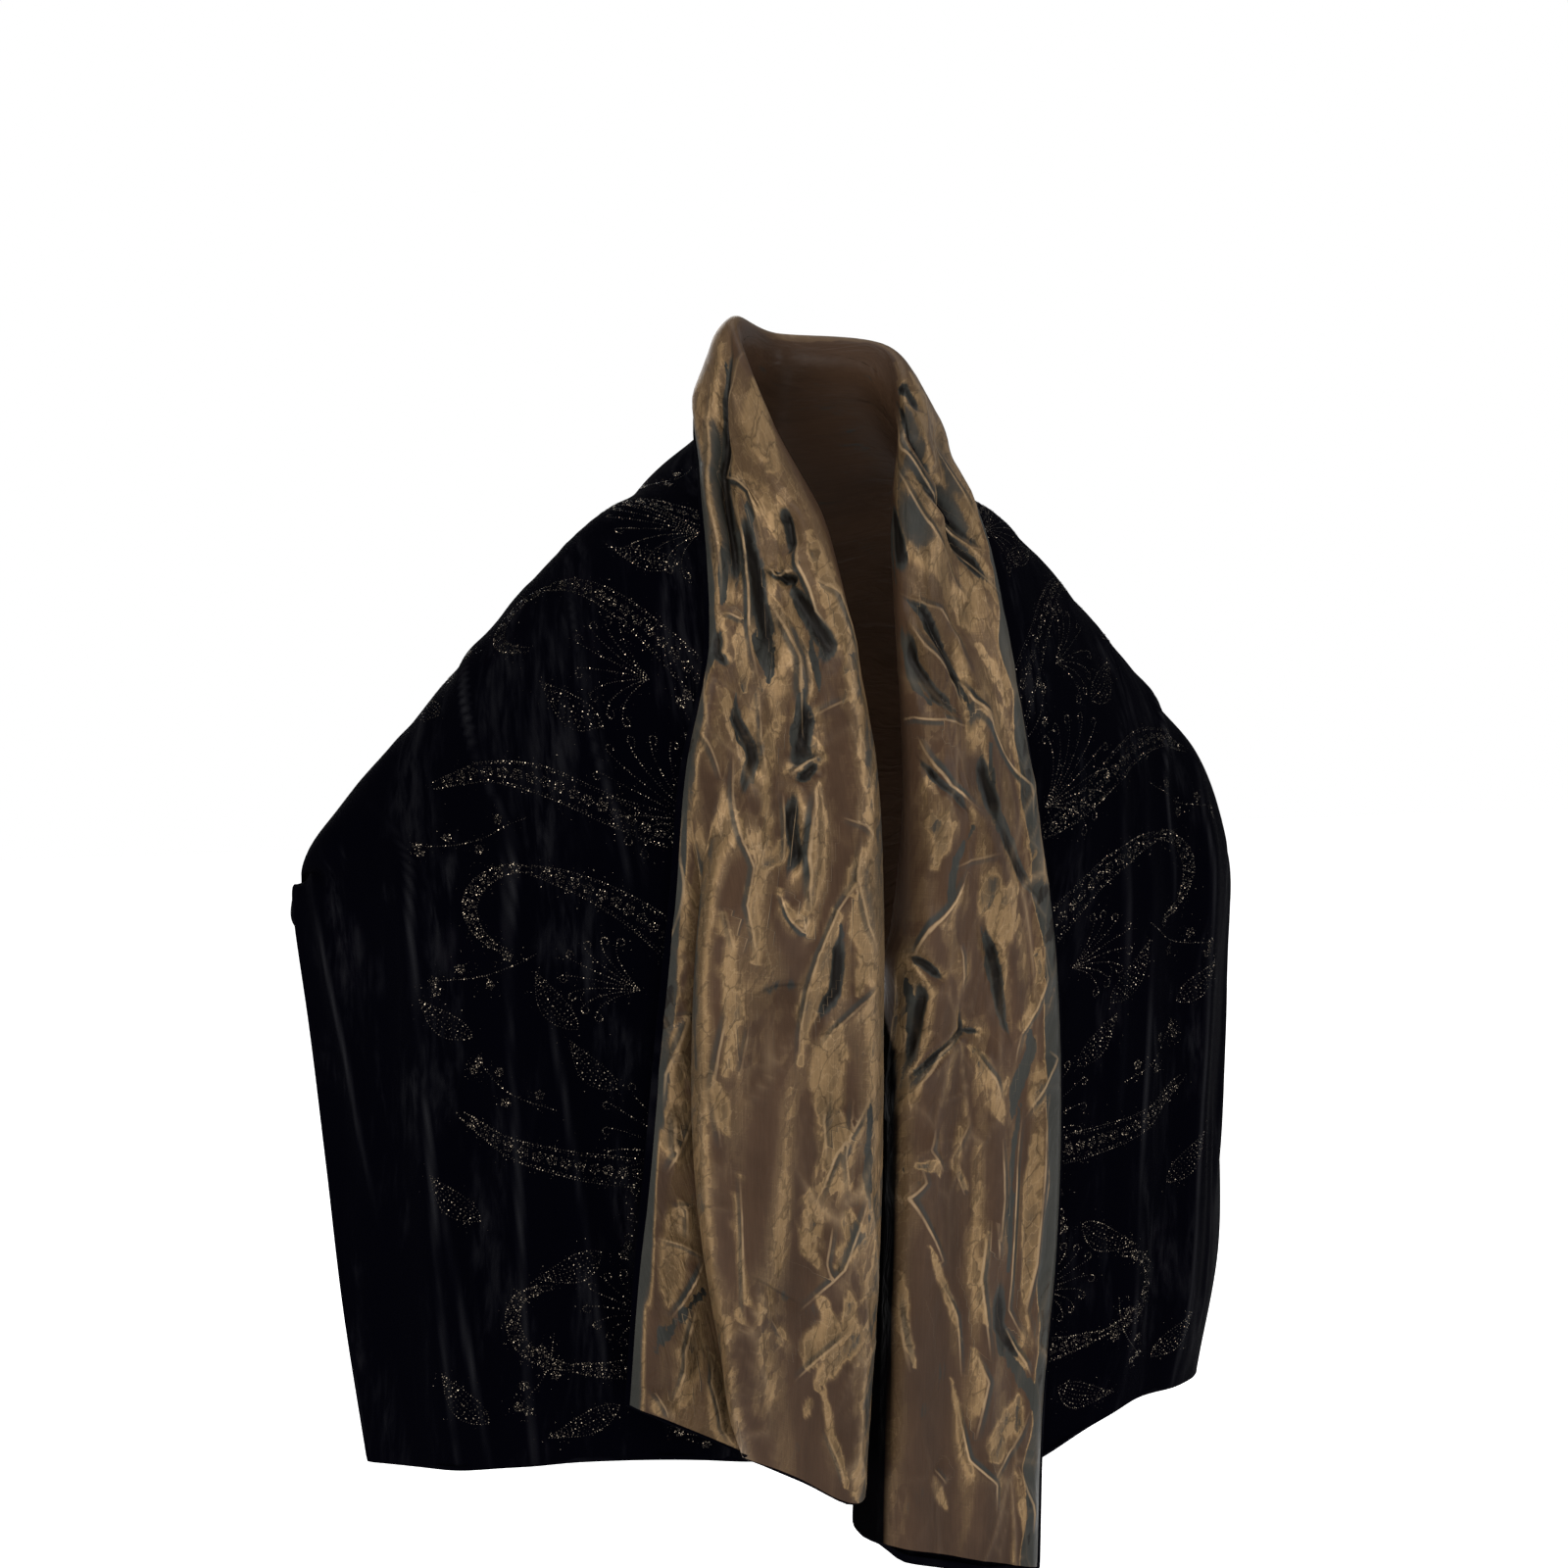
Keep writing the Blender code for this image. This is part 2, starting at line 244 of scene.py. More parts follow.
def across(lines, steps):
    """Read one section's curve, with the given steps between its lines."""
    chords = np.linalg.norm(np.diff(lines, axis=0), axis=1)
    knots = np.concatenate([[0], np.cumsum(chords)])
    places = [
        knots[i] + (knots[i + 1] - knots[i]) * k / count
        for i, count in enumerate(steps)
        for k in range(count)
    ]
    places.append(knots[-1])
    return smooth(knots, lines, places)


def unit(vectors):
    """Scale vectors, in the last axis, to length 1."""
    return vectors / np.maximum(np.linalg.norm(vectors, axis=-1, keepdims=True), 1e-12)


def normals(points):
    """Give the unit normals of a grid of points, on the velvet's side."""
    return unit(np.cross(np.gradient(points, axis=0), np.gradient(points, axis=1)))


def bump(distance, width):
    """Give a soft ridge's height, from 1 on its line to 0 well away from it."""
    return np.exp(-((distance / width) ** 2))


def swell(along, down, spot):
    """Give the height of a soft swell round one spot of the cloth, in metres."""
    place, fall, reach_along, reach_down, height = spot
    beside = bump(along / MM - place, reach_along)
    return height * MM * beside * bump(down / MM - fall, reach_down)


def reached_across(points):
    """Measure how far each point lies from the first column, along its row."""
    steps = np.linalg.norm(np.diff(points, axis=1), axis=2)
    return np.concatenate([np.zeros((len(points), 1)), np.cumsum(steps, axis=1)], axis=1)


def down_from_ridge(points, ridge):
    """Measure down from the ridge: above zero on the turned-out part, below zero on the body."""
    reached = reached_across(points)
    return reached[:, ridge : ridge + 1] - reached


def curl_heights(points, ridge):
    """Give how far the turned-out part curls back towards its free edge, in metres."""
    share = np.clip(1 - reached_across(points[:, : ridge + 1]) / CURL_WIDTH, 0, 1)
    return EDGE_CURL * share * share


def fold_heights(along, points, first, last, folds):
    """Sum the folds that lie between two columns of the grid, in metres."""
    reached = reached_across(points[:, first : last + 1])
    whole = reached[:, -1:]
    heights = np.zeros(reached.shape)
    half_length = along[-1] / 2
    for fold in named(FOLD_COLUMNS, folds):
        start, end = fold["start"] * MM, fold["end"] * MM
        place = along if fold["half"] == "left" else along[-1] - along
        share = (place - start) / (end - start)
        inside = np.clip(np.minimum(share, 1 - share) * 4, 0, 1)
        fade = inside * inside * (3 - 2 * inside)
        if end <= half_length:
            fade = np.where(place <= half_length, fade, 0)
        swing = fold["place_at_end"] - fold["place_at_start"]
        line = (fold["place_at_start"] + swing * np.clip(share, 0, 1))[:, None]
        shape = bump(reached - line * whole, fold["width"] * MM)
        heights += fade[:, None] * fold["height"] * MM * shape
    return heights * np.clip(np.minimum(reached, whole - reached) / EDGE_FADE, 0, 1)


class Form:
    """The middle surface of the cloth on a grid, with the distances that its folds are placed by."""

    def __init__(self, rows, steps):
        places, lines = stations()
        table = named(ROW_COLUMNS, rows)
        ends = [row["from"] for row in table[1:]] + [places[-1] / 2]
        runs = [
            np.linspace(row["from"], end, row["rows"], endpoint=False)
            for row, end in zip(table, ends)
        ]
        half = np.concatenate(runs)
        self.along = np.concatenate([half, [places[-1] / 2], places[-1] - half[::-1]])
        fine = smooth(places, lines, self.along)
        points = np.array([across(row, steps) for row in fine])
        starts = np.concatenate([[0], np.cumsum(steps)])
        self.column = dict(zip(LINES, starts))
        ridge = self.column["ridge"]
        under = self.column["under"]
        last = points.shape[1] - 1
        heights = np.zeros(points.shape[:2])
        heights[:, under:] += fold_heights(self.along, points, under, last, BODY_FOLDS)
        heights[:, : ridge + 1] -= fold_heights(self.along, points, 0, ridge, LAPEL_FOLDS)
        heights[:, : ridge + 1] += curl_heights(points, ridge)
        self.points = points + normals(points) * heights[:, :, None]
        eased = swell(self.along[:, None], down_from_ridge(self.points, ridge), ELBOW_EASE)
        self.points[..., 0] += eased
        self.out = normals(self.points)
        self.down = down_from_ridge(self.points, ridge)
        self.across = unit(self.points[:, ridge] - self.points[:, 0])


# Creases of the turned-out part. Each has its half, its height above the lining (below zero for a
# trough), its half widths towards the ridge and towards the free edge, and its line, as places along
# the cloth and down from the ridge, all in millimetres
CREASES = [
    ("left", -9, 5, 5, ((800, -18), (770, -8), (755, 8), (710, 32), (660, 48), (600, 62))),
    ("left", 5, 5, 5, ((770, -18), (745, 8), (705, 32), (685, 24), (640, 34))),
    ("left", -7, 9, 9, ((690, 30), (645, 42), (600, 46), (570, 46), (540, 58))),
    ("left", 5, 4, 4, ((705, 32), (685, 36), (625, 50), (585, 56), (535, 60))),
    ("left", -6, 5, 5, ((735, 22), (690, 40), (645, 52), (605, 62))),
    ("left", 3, 7, 7, ((775, 6), (750, 26), (685, 50), (640, 62), (605, 70))),
    ("left", 3, 4, 4, ((600, 80), (550, 92), (500, 100))),
    ("left", -9, 6, 6, ((670, 6), (650, 12), (630, 16))),
    ("left", 6, 4, 4, ((630, 36), (620, 32), (620, 24), (620, 12))),
    ("left", -6, 4, 4, ((625, 34), (615, 24), (615, 12))),
    ("left", 5, 6, 6, ((655, 6), (625, 12), (605, 10), (590, 10), (575, 4))),
    ("left", -6, 8, 8, ((620, 26), (595, 16), (565, 8), (545, 18))),
    ("left", 4, 8, 8, ((620, 12), (600, -2), (560, -10), (535, -8))),
    ("left", 4, 5, 5, ((605, 40), (575, 34), (555, 32), (535, 36), (500, 36))),
    ("left", 2, 4, 4, ((515, 32), (530, 2))),
    ("left", 4, 4, 4, ((595, 70), (585, 58))),
    ("left", -4, 5, 5, ((585, 74), (565, 80), (550, 76))),
    ("left", -5, 6, 6, ((535, 76), (515, 80), (495, 74), (485, 74), (455, 88))),
    ("left", 3, 5, 5, ((510, 104), (490, 100), (470, 96))),
    ("left", 4, 5, 5, ((495, 86), (460, 90), (430, 90), (415, 86), (390, 92), (345, 80))),
    ("left", 3, 5, 5, ((540, 60), (500, 66), (470, 66))),
    ("left", -7, 8, 8, ((535, 38), (515, 32), (490, 42), (475, 50))),
    ("left", 5, 4, 4, ((475, 50), (485, 40), (490, 28))),
    ("left", -5, 4, 4, ((470, 48), (485, 30))),
    ("left", -6, 6, 6, ((470, 48), (445, 54), (425, 52), (405, 62))),
    ("left", 3, 5, 5, ((465, 56), (440, 58), (415, 62))),
    ("left", 5, 5, 5, ((470, 36), (450, 42), (425, 46), (400, 48), (385, 46))),
    ("left", 5, 4, 4, ((400, 66), (385, 60), (375, 52), (385, 46))),
    ("left", 2, 3, 3, ((450, 20), (445, 6), (435, -2))),
    ("left", 4, 10, 4, ((430, 6), (405, 16), (390, 26), (360, 40), (330, 48), (305, 54), (275, 56))),
    ("left", -6, 6, 6, ((385, 24), (350, 26), (335, 28), (310, 44))),
    ("left", 4, 5, 5, ((345, -6), (330, 12), (310, 30), (295, 38))),
    ("left", 3, 6, 6, ((435, 8), (410, 14), (380, 8), (360, -2))),
    ("left", -2, 8, 8, ((325, 88), (335, 70), (340, 42))),
    ("left", 3, 7, 7, ((325, 102), (285, 110), (245, 116))),
    ("left", 2, 4, 4, ((310, 88), (265, 98))),
    ("left", 2, 8, 8, ((390, 106), (370, 102), (355, 98))),
    ("left", 2, 7, 7, ((255, 114), (215, 110))),
    ("left", 3, 6, 6, ((205, 98), (140, 96), (85, 94))),
    ("left", 4, 8, 10, ((275, 2), (230, 28), (190, 40))),
    ("left", 4, 6, 6, ((215, 2), (155, 20), (115, 50))),
    ("left", 3, 4, 4, ((120, 10), (85, 38), (65, 52))),
    ("left", 2, 4, 4, ((105, 78), (90, 62), (80, 70))),
    ("left", 3, 5, 5, ((45, 28), (25, 16), (10, 10))),
    ("left", -2, 8, 8, ((130, 96), (120, 48))),
    ("left", 3, 6, 6, ((270, 16), (230, 22), (195, 16))),
    ("left", 3, 5, 6, ((270, 32), (250, 36), (220, 34))),
    ("left", 3, 5, 6, ((185, 28), (155, 32), (135, 26))),
    ("left", 3, 4, 4, ((450, 122), (420, 136), (360, 168), (325, 176))),
    ("left", 4, 4, 4, ((300, 182), (305, 166), (260, 188), (235, 194))),
    ("left", 4, 5, 5, ((235, 174), (205, 192), (185, 202))),
    ("left", 3, 4, 4, ((235, 188), (195, 196))),
    ("left", 3, 4, 4, ((160, 204), (165, 192), (135, 198))),
    ("left", 3, 4, 4, ((135, 220), (135, 202), (130, 184))),
    ("left", 5, 5, 5, ((130, 184), (100, 206), (75, 226))),
    ("left", 4, 5, 5, ((100, 196), (55, 220), (10, 230))),
    ("left", 3, 6, 6, ((20, 246), (0, 228))),
    ("left", 4, 9, 9, ((70, 194), (40, 200), (10, 186), (0, 170))),
    ("right", -10, 6, 6, ((755, -28), (710, -12), (685, 22), (650, 44), (625, 66))),
    ("right", 5, 4, 4, ((735, -28), (695, -16), (670, 12), (635, 50), (630, 66))),
    ("right", -7, 6, 6, ((695, -22), (665, 18), (630, 44), (595, 74))),
    ("right", 4, 6, 6, ((700, -30), (670, -12), (625, 22), (595, 46))),
    ("right", 4, 4, 4, ((685, -14), (635, 36), (600, 72))),
    ("right", -5, 10, 10, ((660, -32), (635, -20), (610, -18))),
    ("right", 3, 4, 4, ((600, -20), (600, -4), (595, 8), (575, 24), (550, 30))),
    ("right", -7, 6, 6, ((600, -20), (595, -2), (565, 14), (545, 20), (525, 22))),
    ("right", -5, 6, 6, ((585, -14), (560, -12), (540, 2), (525, 20))),
    ("right", 4, 5, 5, ((585, -12), (565, 2), (545, 16), (525, 24))),
    ("right", 5, 4, 4, ((550, 20), (535, 28), (520, 44))),
    ("right", 3, 5, 5, ((595, 76), (570, 74), (545, 74))),
    ("right", 4, 8, 8, ((740, 22), (710, 36), (655, 58))),
    ("right", -4, 8, 8, ((755, -22), (735, -2))),
    ("right", 5, 8, 5, ((515, -12), (485, 6), (470, 32))),
    ("right", -4, 4, 5, ((505, -16), (485, 2), (465, 28))),
    ("right", 4, 10, 6, ((520, -26), (525, -12), (525, 4), (520, 26))),
    ("right", 6, 5, 8, ((545, 18), (520, 40), (505, 50), (485, 72), (465, 76))),
    ("right", -7, 8, 8, ((510, 32), (490, 34), (475, 40), (460, 44))),
    ("right", -6, 6, 6, ((470, 38), (445, 58), (430, 70), (415, 86))),
    ("right", -7, 6, 6, ((410, 36), (380, 48), (340, 60), (325, 68))),
    ("right", 5, 4, 7, ((435, 24), (400, 2), (380, -6), (380, -18))),
    ("right", 2, 3, 3, ((435, 12), (440, 24), (445, 48))),
    ("right", -5, 4, 4, ((380, -12), (375, -2), (365, 12))),
    ("right", -6, 8, 5, ((370, -6), (355, 0), (335, -2), (305, -6))),
    ("right", -5, 3, 3, ((355, 24), (335, 30), (320, 12), (305, -2), (295, -2))),
    ("right", -3, 3, 3, ((335, 30), (335, 44))),
    ("right", 4, 4, 7, ((335, 32), (320, 14), (300, 2), (295, 0))),
    ("right", 4, 5, 5, ((390, 86), (370, 90), (350, 82), (335, 72), (315, 72))),
    ("right", 4, 5, 5, ((325, 96), (320, 102), (300, 94), (280, 84))),
    ("right", 3, 5, 5, ((390, 20), (360, 26))),
    ("right", 4, 5, 5, ((325, 38), (305, 56), (290, 62))),
    ("right", 3, 4, 4, ((275, 14), (260, 10), (245, 22))),
    ("right", 4, 4, 4, ((255, 4), (240, 8), (230, 0), (210, 10), (190, 22), (185, 14))),
    ("right", 2, 4, 4, ((280, 42), (255, 28))),
    ("right", 2, 3, 3, ((250, 28), (230, 40))),
    ("right", 4, 5, 5, ((270, 64), (230, 66), (190, 62))),
    ("right", 3, 3, 3, ((220, 60), (190, 64))),
    ("right", 5, 4, 4, ((285, 82), (250, 78), (200, 76), (160, 74), (135, 94))),
    ("right", 4, 4, 4, ((305, 100), (240, 98), (190, 94), (160, 88), (135, 96))),
    ("right", 4, 8, 8, ((180, 18), (155, 34), (115, 40))),
    ("right", 4, 5, 5, ((135, 48), (115, 58), (75, 50))),
    ("right", 4, 5, 5, ((220, 56), (180, 52), (125, 60))),
    ("right", -6, 8, 8, ((185, 66), (150, 66), (125, 90))),
    ("right", 4, 4, 4, ((150, 72), (120, 94))),
    ("right", 5, 4, 4, ((100, 36), (65, 46), (50, 64), (30, 66))),
    ("right", 4, 6, 6, ((100, 94), (75, 80), (50, 60))),
    ("right", 4, 5, 5, ((65, 84), (40, 94), (20, 96))),
    ("right", 3, 5, 5, ((170, -6), (115, 2))),
    ("right", 2, 6, 6, ((55, 18), (45, 30))),
]
CREASE_TAPER = 0.3
# Share of the relief's slope that counts as lean, and so as painted highlight and shade, near each
# half's ridge, at places along it in millimetres, and how far from the ridge this reaches
RIDGE_SLATE = {
    "left": ((0, 1), (500, 1), (570, 0.15), (760, 0.15), (800, 0.4)),
    "right": (
        (0, 0.5), (280, 0.5), (300, 1), (365, 1), (395, 0.2), (620, 0.2), (645, 1), (730, 1), (760, 0.4)
    ),
}
RIDGE_REACH = 0.014
# Places painted as if the lining leaned across its width, which shows as bronze, as a painted gold
# highlight where it leans more, and as painted slate shade where it leans furthest. Each has its half,
# its lean, its half width and its line, with places measured as a crease's are
PAINTED_LEANS = [
    ("left", 0.32, 6, ((780, -2), (755, 18), (700, 50), (630, 78), (570, 86), (540, 92))),
    ("left", 0.8, 2, ((775, 36), (655, 70))),
    ("left", 0.8, 2, ((770, -2), (740, 14))),
    ("left", 0.26, 3, ((765, -10), (755, 2))),
    ("left", 0.29, 13, ((745, -12), (720, -4), (695, 0))),
    ("left", 0.28, 10, ((700, 18), (670, 16), (645, 20))),
    ("left", 0.8, 3, ((685, 28), (645, 40))),
    ("left", 0.8, 6, ((620, 44), (580, 48), (540, 52))),
    ("left", 0.8, 2, ((650, 58), (600, 70))),
    ("left", 0.34, 8, ((645, 2), (615, 2), (585, 0), (555, -4), (525, -4))),
    ("left", 0.8, 4, ((605, 20), (585, 18))),
    ("left", 0.8, 3, ((570, 18), (535, 20))),
    ("left", 0.36, 4, ((620, 32), (605, 38), (575, 32), (545, 34), (520, 32))),
    ("left", 0.36, 5, ((585, 62), (560, 66), (535, 70))),
    ("left", 0.36, 5, ((540, 86), (520, 84))),
    ("left", 0.36, 5, ((535, 86), (515, 86))),
    ("left", 0.8, 2, ((535, 34), (500, 44), (485, 46))),
    ("left", 0.8, 2, ((535, 76), (500, 82), (490, 74), (470, 76))),
    ("left", 0.34, 6, ((515, 48), (500, 60), (475, 68), (445, 70), (425, 80))),
    ("left", 0.36, 5, ((505, 34), (490, 28), (480, 46))),
    ("left", 0.34, 3, ((525, -8), (480, 0), (450, 0))),
    ("left", 0.34, 3, ((450, 90), (420, 86))),
    ("left", 0.38, 5, ((415, 76), (425, 62), (435, 60))),
    ("left", 0.38, 3, ((400, 66), (380, 54), (390, 48), (445, 44))),
    ("left", 0.36, 5, ((435, 4), (420, 10), (400, 20))),
    ("left", 0.36, 8, ((415, 8), (380, 12), (355, 8), (335, 14))),
    ("left", 0.38, 7, ((390, 26), (350, 38), (320, 48), (285, 54))),
    ("left", 0.36, 14, ((315, 26), (285, 34), (250, 36))),
    ("left", 0.34, 3, ((515, 106), (430, 122), (365, 128), (265, 124))),
    ("left", 0.32, 6, ((385, 108), (365, 104), (325, 102), (295, 100), (265, 110), (250, 114))),
    ("left", 0.34, 3, ((410, 92), (375, 86), (350, 84))),
    ("left", 0.8, 3, ((380, 24), (340, 26))),
    ("left", 0.36, 9, ((420, 140), (360, 168), (320, 176), (300, 180))),
    ("left", 0.36, 10, ((305, 168), (260, 186), (235, 194))),
    ("right", 0.29, 9, ((765, -12), (745, 24), (700, 42), (655, 58))),
    ("right", 0.30, 11, ((695, -30), (665, -22), (650, -4), (620, 12), (595, 32), (580, 38))),
    ("right", 0.34, 6, ((570, 40), (550, 56), (530, 64))),
    ("right", 0.28, 6, ((590, -4), (570, 10), (545, 18))),
    ("right", 0.3, 5, ((625, 48), (595, 68))),
    ("right", 0.8, 3, ((645, -32), (620, -32), (605, -24))),
    ("right", 0.8, 3, ((600, -16), (590, -2), (550, 18), (530, 26))),
    ("right", 0.8, 3, ((580, -18), (550, -14), (535, -2))),
    ("right", 0.26, 12, ((540, 28), (520, 58), (505, 74))),
    ("right", 0.34, 9, ((490, -4), (470, 0), (455, 4), (435, 0))),
    ("right", 0.8, 3, ((510, 38), (470, 42), (450, 58), (425, 76))),
    ("right", 0.8, 3, ((460, 26), (440, 12), (415, 8))),
    ("right", 0.36, 14, ((430, 40), (410, 50), (395, 58))),
    ("right", 0.34, 3, ((450, 72), (430, 86))),
    ("right", 0.22, 6, ((420, 16), (400, 8), (380, 16), (355, 24))),
    ("right", 0.8, 2, ((400, 38), (375, 44), (350, 56), (330, 66))),
    ("right", 0.36, 7, ((385, 82), (370, 88), (340, 72))),
    ("right", 0.85, 4, ((365, -12), (350, -6), (320, -6))),
    ("right", 0.34, 5, ((325, 36), (315, 48), (290, 60))),
    ("right", 0.8, 5, ((335, 80), (320, 84), (300, 74), (280, 72))),
    ("right", 0.36, 4, ((310, 98), (285, 92))),
    ("left", 0.36, 6, ((270, 114), (240, 110), (225, 108))),
    ("left", 0.34, 3, ((200, 98), (165, 102), (130, 96), (95, 96))),
    ("left", 0.38, 12, ((275, 36), (260, 34), (245, 26), (220, 28), (190, 40), (160, 44), (150, 36))),
    ("left", 0.38, 7, ((195, 18), (175, 14), (155, 24))),
    ("left", 0.8, 4, ((270, 6), (225, 6), (190, 4))),
    ("left", 0.38, 9, ((130, 36), (115, 26), (100, 38), (80, 44))),
    ("left", 0.4, 9, ((140, 16), (115, 14), (95, 24), (70, 34))),
    ("left", 0.34, 4, ((60, 38), (45, 42))),
    ("left", 0.36, 4, ((75, 30), (40, 22), (10, 10))),
    ("left", 0.32, 3, ((100, 70), (95, 62), (85, 68))),
    ("left", 0.36, 11, ((260, 188), (225, 188), (200, 196))),
    ("left", 0.36, 12, ((165, 196), (120, 212), (85, 226))),
    ("left", 0.8, 4, ((105, 192), (75, 222), (45, 246))),
    ("left", 0.36, 12, ((85, 204), (40, 220), (15, 222))),
    ("left", 0.36, 3, ((15, 246), (0, 236))),
    ("left", 0.38, 11, ((60, 196), (30, 194), (0, 182), (0, 170))),
    ("right", 0.36, 5, ((270, 92), (230, 88), (200, 88), (165, 86))),
    ("right", 0.36, 6, ((305, 66), (295, 56), (280, 62))),
    ("right", 0.8, 3, ((290, 80), (250, 72), (185, 72))),
    ("right", 0.36, 4, ((250, 4), (250, 16), (245, 18))),
    ("right", 0.36, 4, ((200, 12), (185, 18), (160, 30), (140, 38))),
    ("right", 0.34, 3, ((210, 56), (175, 52), (150, 56))),
    ("right", 0.8, 5, ((160, 62), (135, 70), (115, 90), (100, 98))),
    ("right", 0.36, 4, ((145, 72), (125, 90))),
    ("right", 0.34, 4, ((135, 48), (115, 54), (95, 52))),
    ("right", 0.38, 11, ((105, 86), (80, 72), (65, 60))),
    ("right", 0.34, 5, ((50, 18), (30, 28))),
    ("right", 0.34, 3, ((115, 32), (90, 38), (55, 48))),
    ("right", 0.32, 5, ((60, 82), (30, 90), (15, 90))),
    ("right", 0.34, 3, ((180, -2), (150, -2), (120, 4))),
    ("right", 0.34, 4, ((275, 34), (250, 30), (235, 40))),
]
# The outlines of those places wander: cells across and along, height and seed of each wave, the
# share of the half width and the most in millimetres that they wander, and where they fade out
RAGGED_WAVES = ((5, 11, 0.6, 71), (3, 5, 0.35, 72))
RAGGED_SHARE = 0.55
RAGGED_MOST = 4
LEAN_FADE_START = 0.40
LEAN_FADE = 0.95
# The lean from which one of those places is painted as slate shade
SLATE_LEAN = 0.6
# How much lean the slope of the relief gives, which paints highlight and shade
RELIEF_LEAN = 0.52
# How much the lesser of a placed lean and the relief's own lean adds to the greater one
LESSER_LEAN = 0.3
# Lean of the band along the free edge, which paints it as slate shade
EDGE_LEAN = 0.8
# Lean of the whole lining, at places along each half in millimetres: painted light, rising towards
# the collar, which makes the upper part more bronze
PLAIN_LIGHT_LEAN = (
    (0, 0.0), (200, 0.0), (350, 0.04), (500, 0.09), (600, 0.17), (720, 0.22), (870, 0.22)
)
# The right half's roll swells here, as the elbow's edge does above, and meets the left lapel
ROLL_SWELL = (374, -27, 16, 12, 5)
# Painted shadow of the deep gap between the two lapels, on the right half's roll, all in millimetres:
# where it starts below the ridge at places along that half, where it ends, and how softly it starts
# and ends
GAP = ((0, -9), (70, -7), (150, -5), (280, -6), (320, -12), (345, -30))
GAP_BEYOND = -1000
GAP_END = -62
GAP_START_FADE = 4
GAP_END_FADE = 8
# How round a crest is, and a distance that is off every line, in millimetres
CREST_ROUND = 1.8
FAR = 30.0
# Width of the painted slate shade band at the free edge, at places along each half, in millimetres
EDGE_BANDS = {
    "left": ((0, 6), (300, 6), (440, 6), (700, 6), (870, 4)),
    "right": ((0, 15), (300, 18), (560, 15), (700, 8), (870, 4)),
}
EDGE_BAND_FADE = 0.003
# How much wider and deeper than a trough the velvet gives way behind it, and how far below the ridge
GIVE_WIDER = 8
GIVE_DEEPER = 1.15
GIVE_END = 0.03
# The lining's slow swells and small crumples: the size of their cells across and along, their
# height, and a seed
SWELLS = ((52, 170, 2.0, 21), (24, 90, 0.8, 22))
CRUMPLES = ((30, 85, 1.3, 11), (14, 40, 0.5, 12))
# Some patches are crumpled more than others: the patches as waves, and the least, mean and most
CRUMPLED_PATCHES = ((40, 95, 0.9, 31),)
CRUMPLED_LEAST = 0.15
CRUMPLED_MEAN = 0.5
CRUMPLED_MOST = 1.2
# The lining is smoother on the collar: from where along each half, over what length, and how much
COLLAR_START = 540
COLLAR_FADE = 120
COLLAR_SMOOTHING = 0.65
LINING_EASE = 0.0018
CREASE_FADE = 0.012
# Strength of the painted highlight along the crests of the small net
NET_CREST_HIGHLIGHT = 0.25
# The gap between the strip and the front layer at which the relief has gone from between them
LAYERS_APART = 0.012
# The roll below the ridge, which keeps only a share of the relief
ROLL_MIDDLE = -0.025
ROLL_REACH = 0.025
ROLL_RELIEF = 0.35
# How far below the ridge the turned-out part fades into the body
BODY_START = 0.02

# Soft folds of the velvet, as in the table of the body's folds
VELVET_FOLDS = [
    ("left", 150, 470, 0.90, 0.96, 4, 9),
    ("left", 20, 330, 0.48, 0.54, 4, 10),
    ("left", 300, 620, 0.60, 0.52, 4, 9),
    ("left", -40, 190, 0.72, 0.76, 3, 8),
    ("left", 380, 600, 0.40, 0.36, 4, 8),
    ("right", 120, 430, 0.86, 0.92, 4, 9),
    ("right", 330, 560, 0.60, 0.56, 4, 9),
    ("right", 200, 500, 0.48, 0.44, 4, 9),
    ("right", 20, 240, 0.80, 0.78, 3, 8),
    ("left", 640, 900, 0.70, 0.74, 4, 14),
    ("right", 620, 860, 0.70, 0.74, 4, 14),
    ("left", 700, 1000, 0.45, 0.50, 3, 14),
    ("right", 560, 760, 0.45, 0.50, 3, 12),
]
# The velvet's slow waves, as in the lining's table of swells
VELVET_WAVES = ((24, 120, 1.3, 41), (11, 45, 0.5, 42))
# How far below the ridge they start, how they fade at the lower edge, and the deepest hollow
WAVES_START = 0.03
WAVES_EDGE = 0.015
VELVET_LEAST = -0.001
# The velvet swells over the left elbow too, and keeps still at its lower edge
ELBOW_SWELL = (455, -409, 29, 34, 12)
ELBOW_FADE = 0.030
# How much lower the velvet hangs than the lining at the right half's turned-out end, how far up the
# cloth this reaches, and where it ends towards the free edge
HEM_DROP = 0.008
HEM_DROP_FADE = 0.030
HEM_DROP_END = 0.055
HEM_DROP_END_FADE = 0.05
# Half width of the painted sheen, a pale line along the crest of a fold in the velvet
SHEEN_HAIRLINE = 1.8
NOISE_CELLS = 97
CRUMPLE_SHARPNESS = 0.16


def noise(u, v, seed):
    """Read smooth noise from -1 to 1 at places on the cloth, measured in cells."""
    table = np.random.default_rng(seed).uniform(-1, 1, (NOISE_CELLS, NOISE_CELLS))
    i = np.floor(u).astype(int)
    j = np.floor(v).astype(int)
    s = (u - i) ** 2 * (3 - 2 * (u - i))
    t = (v - j) ** 2 * (3 - 2 * (v - j))
    i, k = i % NOISE_CELLS, (i + 1) % NOISE_CELLS
    j, m = j % NOISE_CELLS, (j + 1) % NOISE_CELLS
    near = table[i, j] * (1 - s) + table[k, j] * s
    far = table[i, m] * (1 - s) + table[k, m] * s
    return near * (1 - t) + far * t


def waves(u, v, table):
    """Sum a table's waves, which have their cells across and along, their height and a seed."""
    total = np.zeros(v.shape)
    for cell_across, cell_along, height, seed in table:
        total += height * noise(u / cell_along, v / cell_across, seed)
    return total


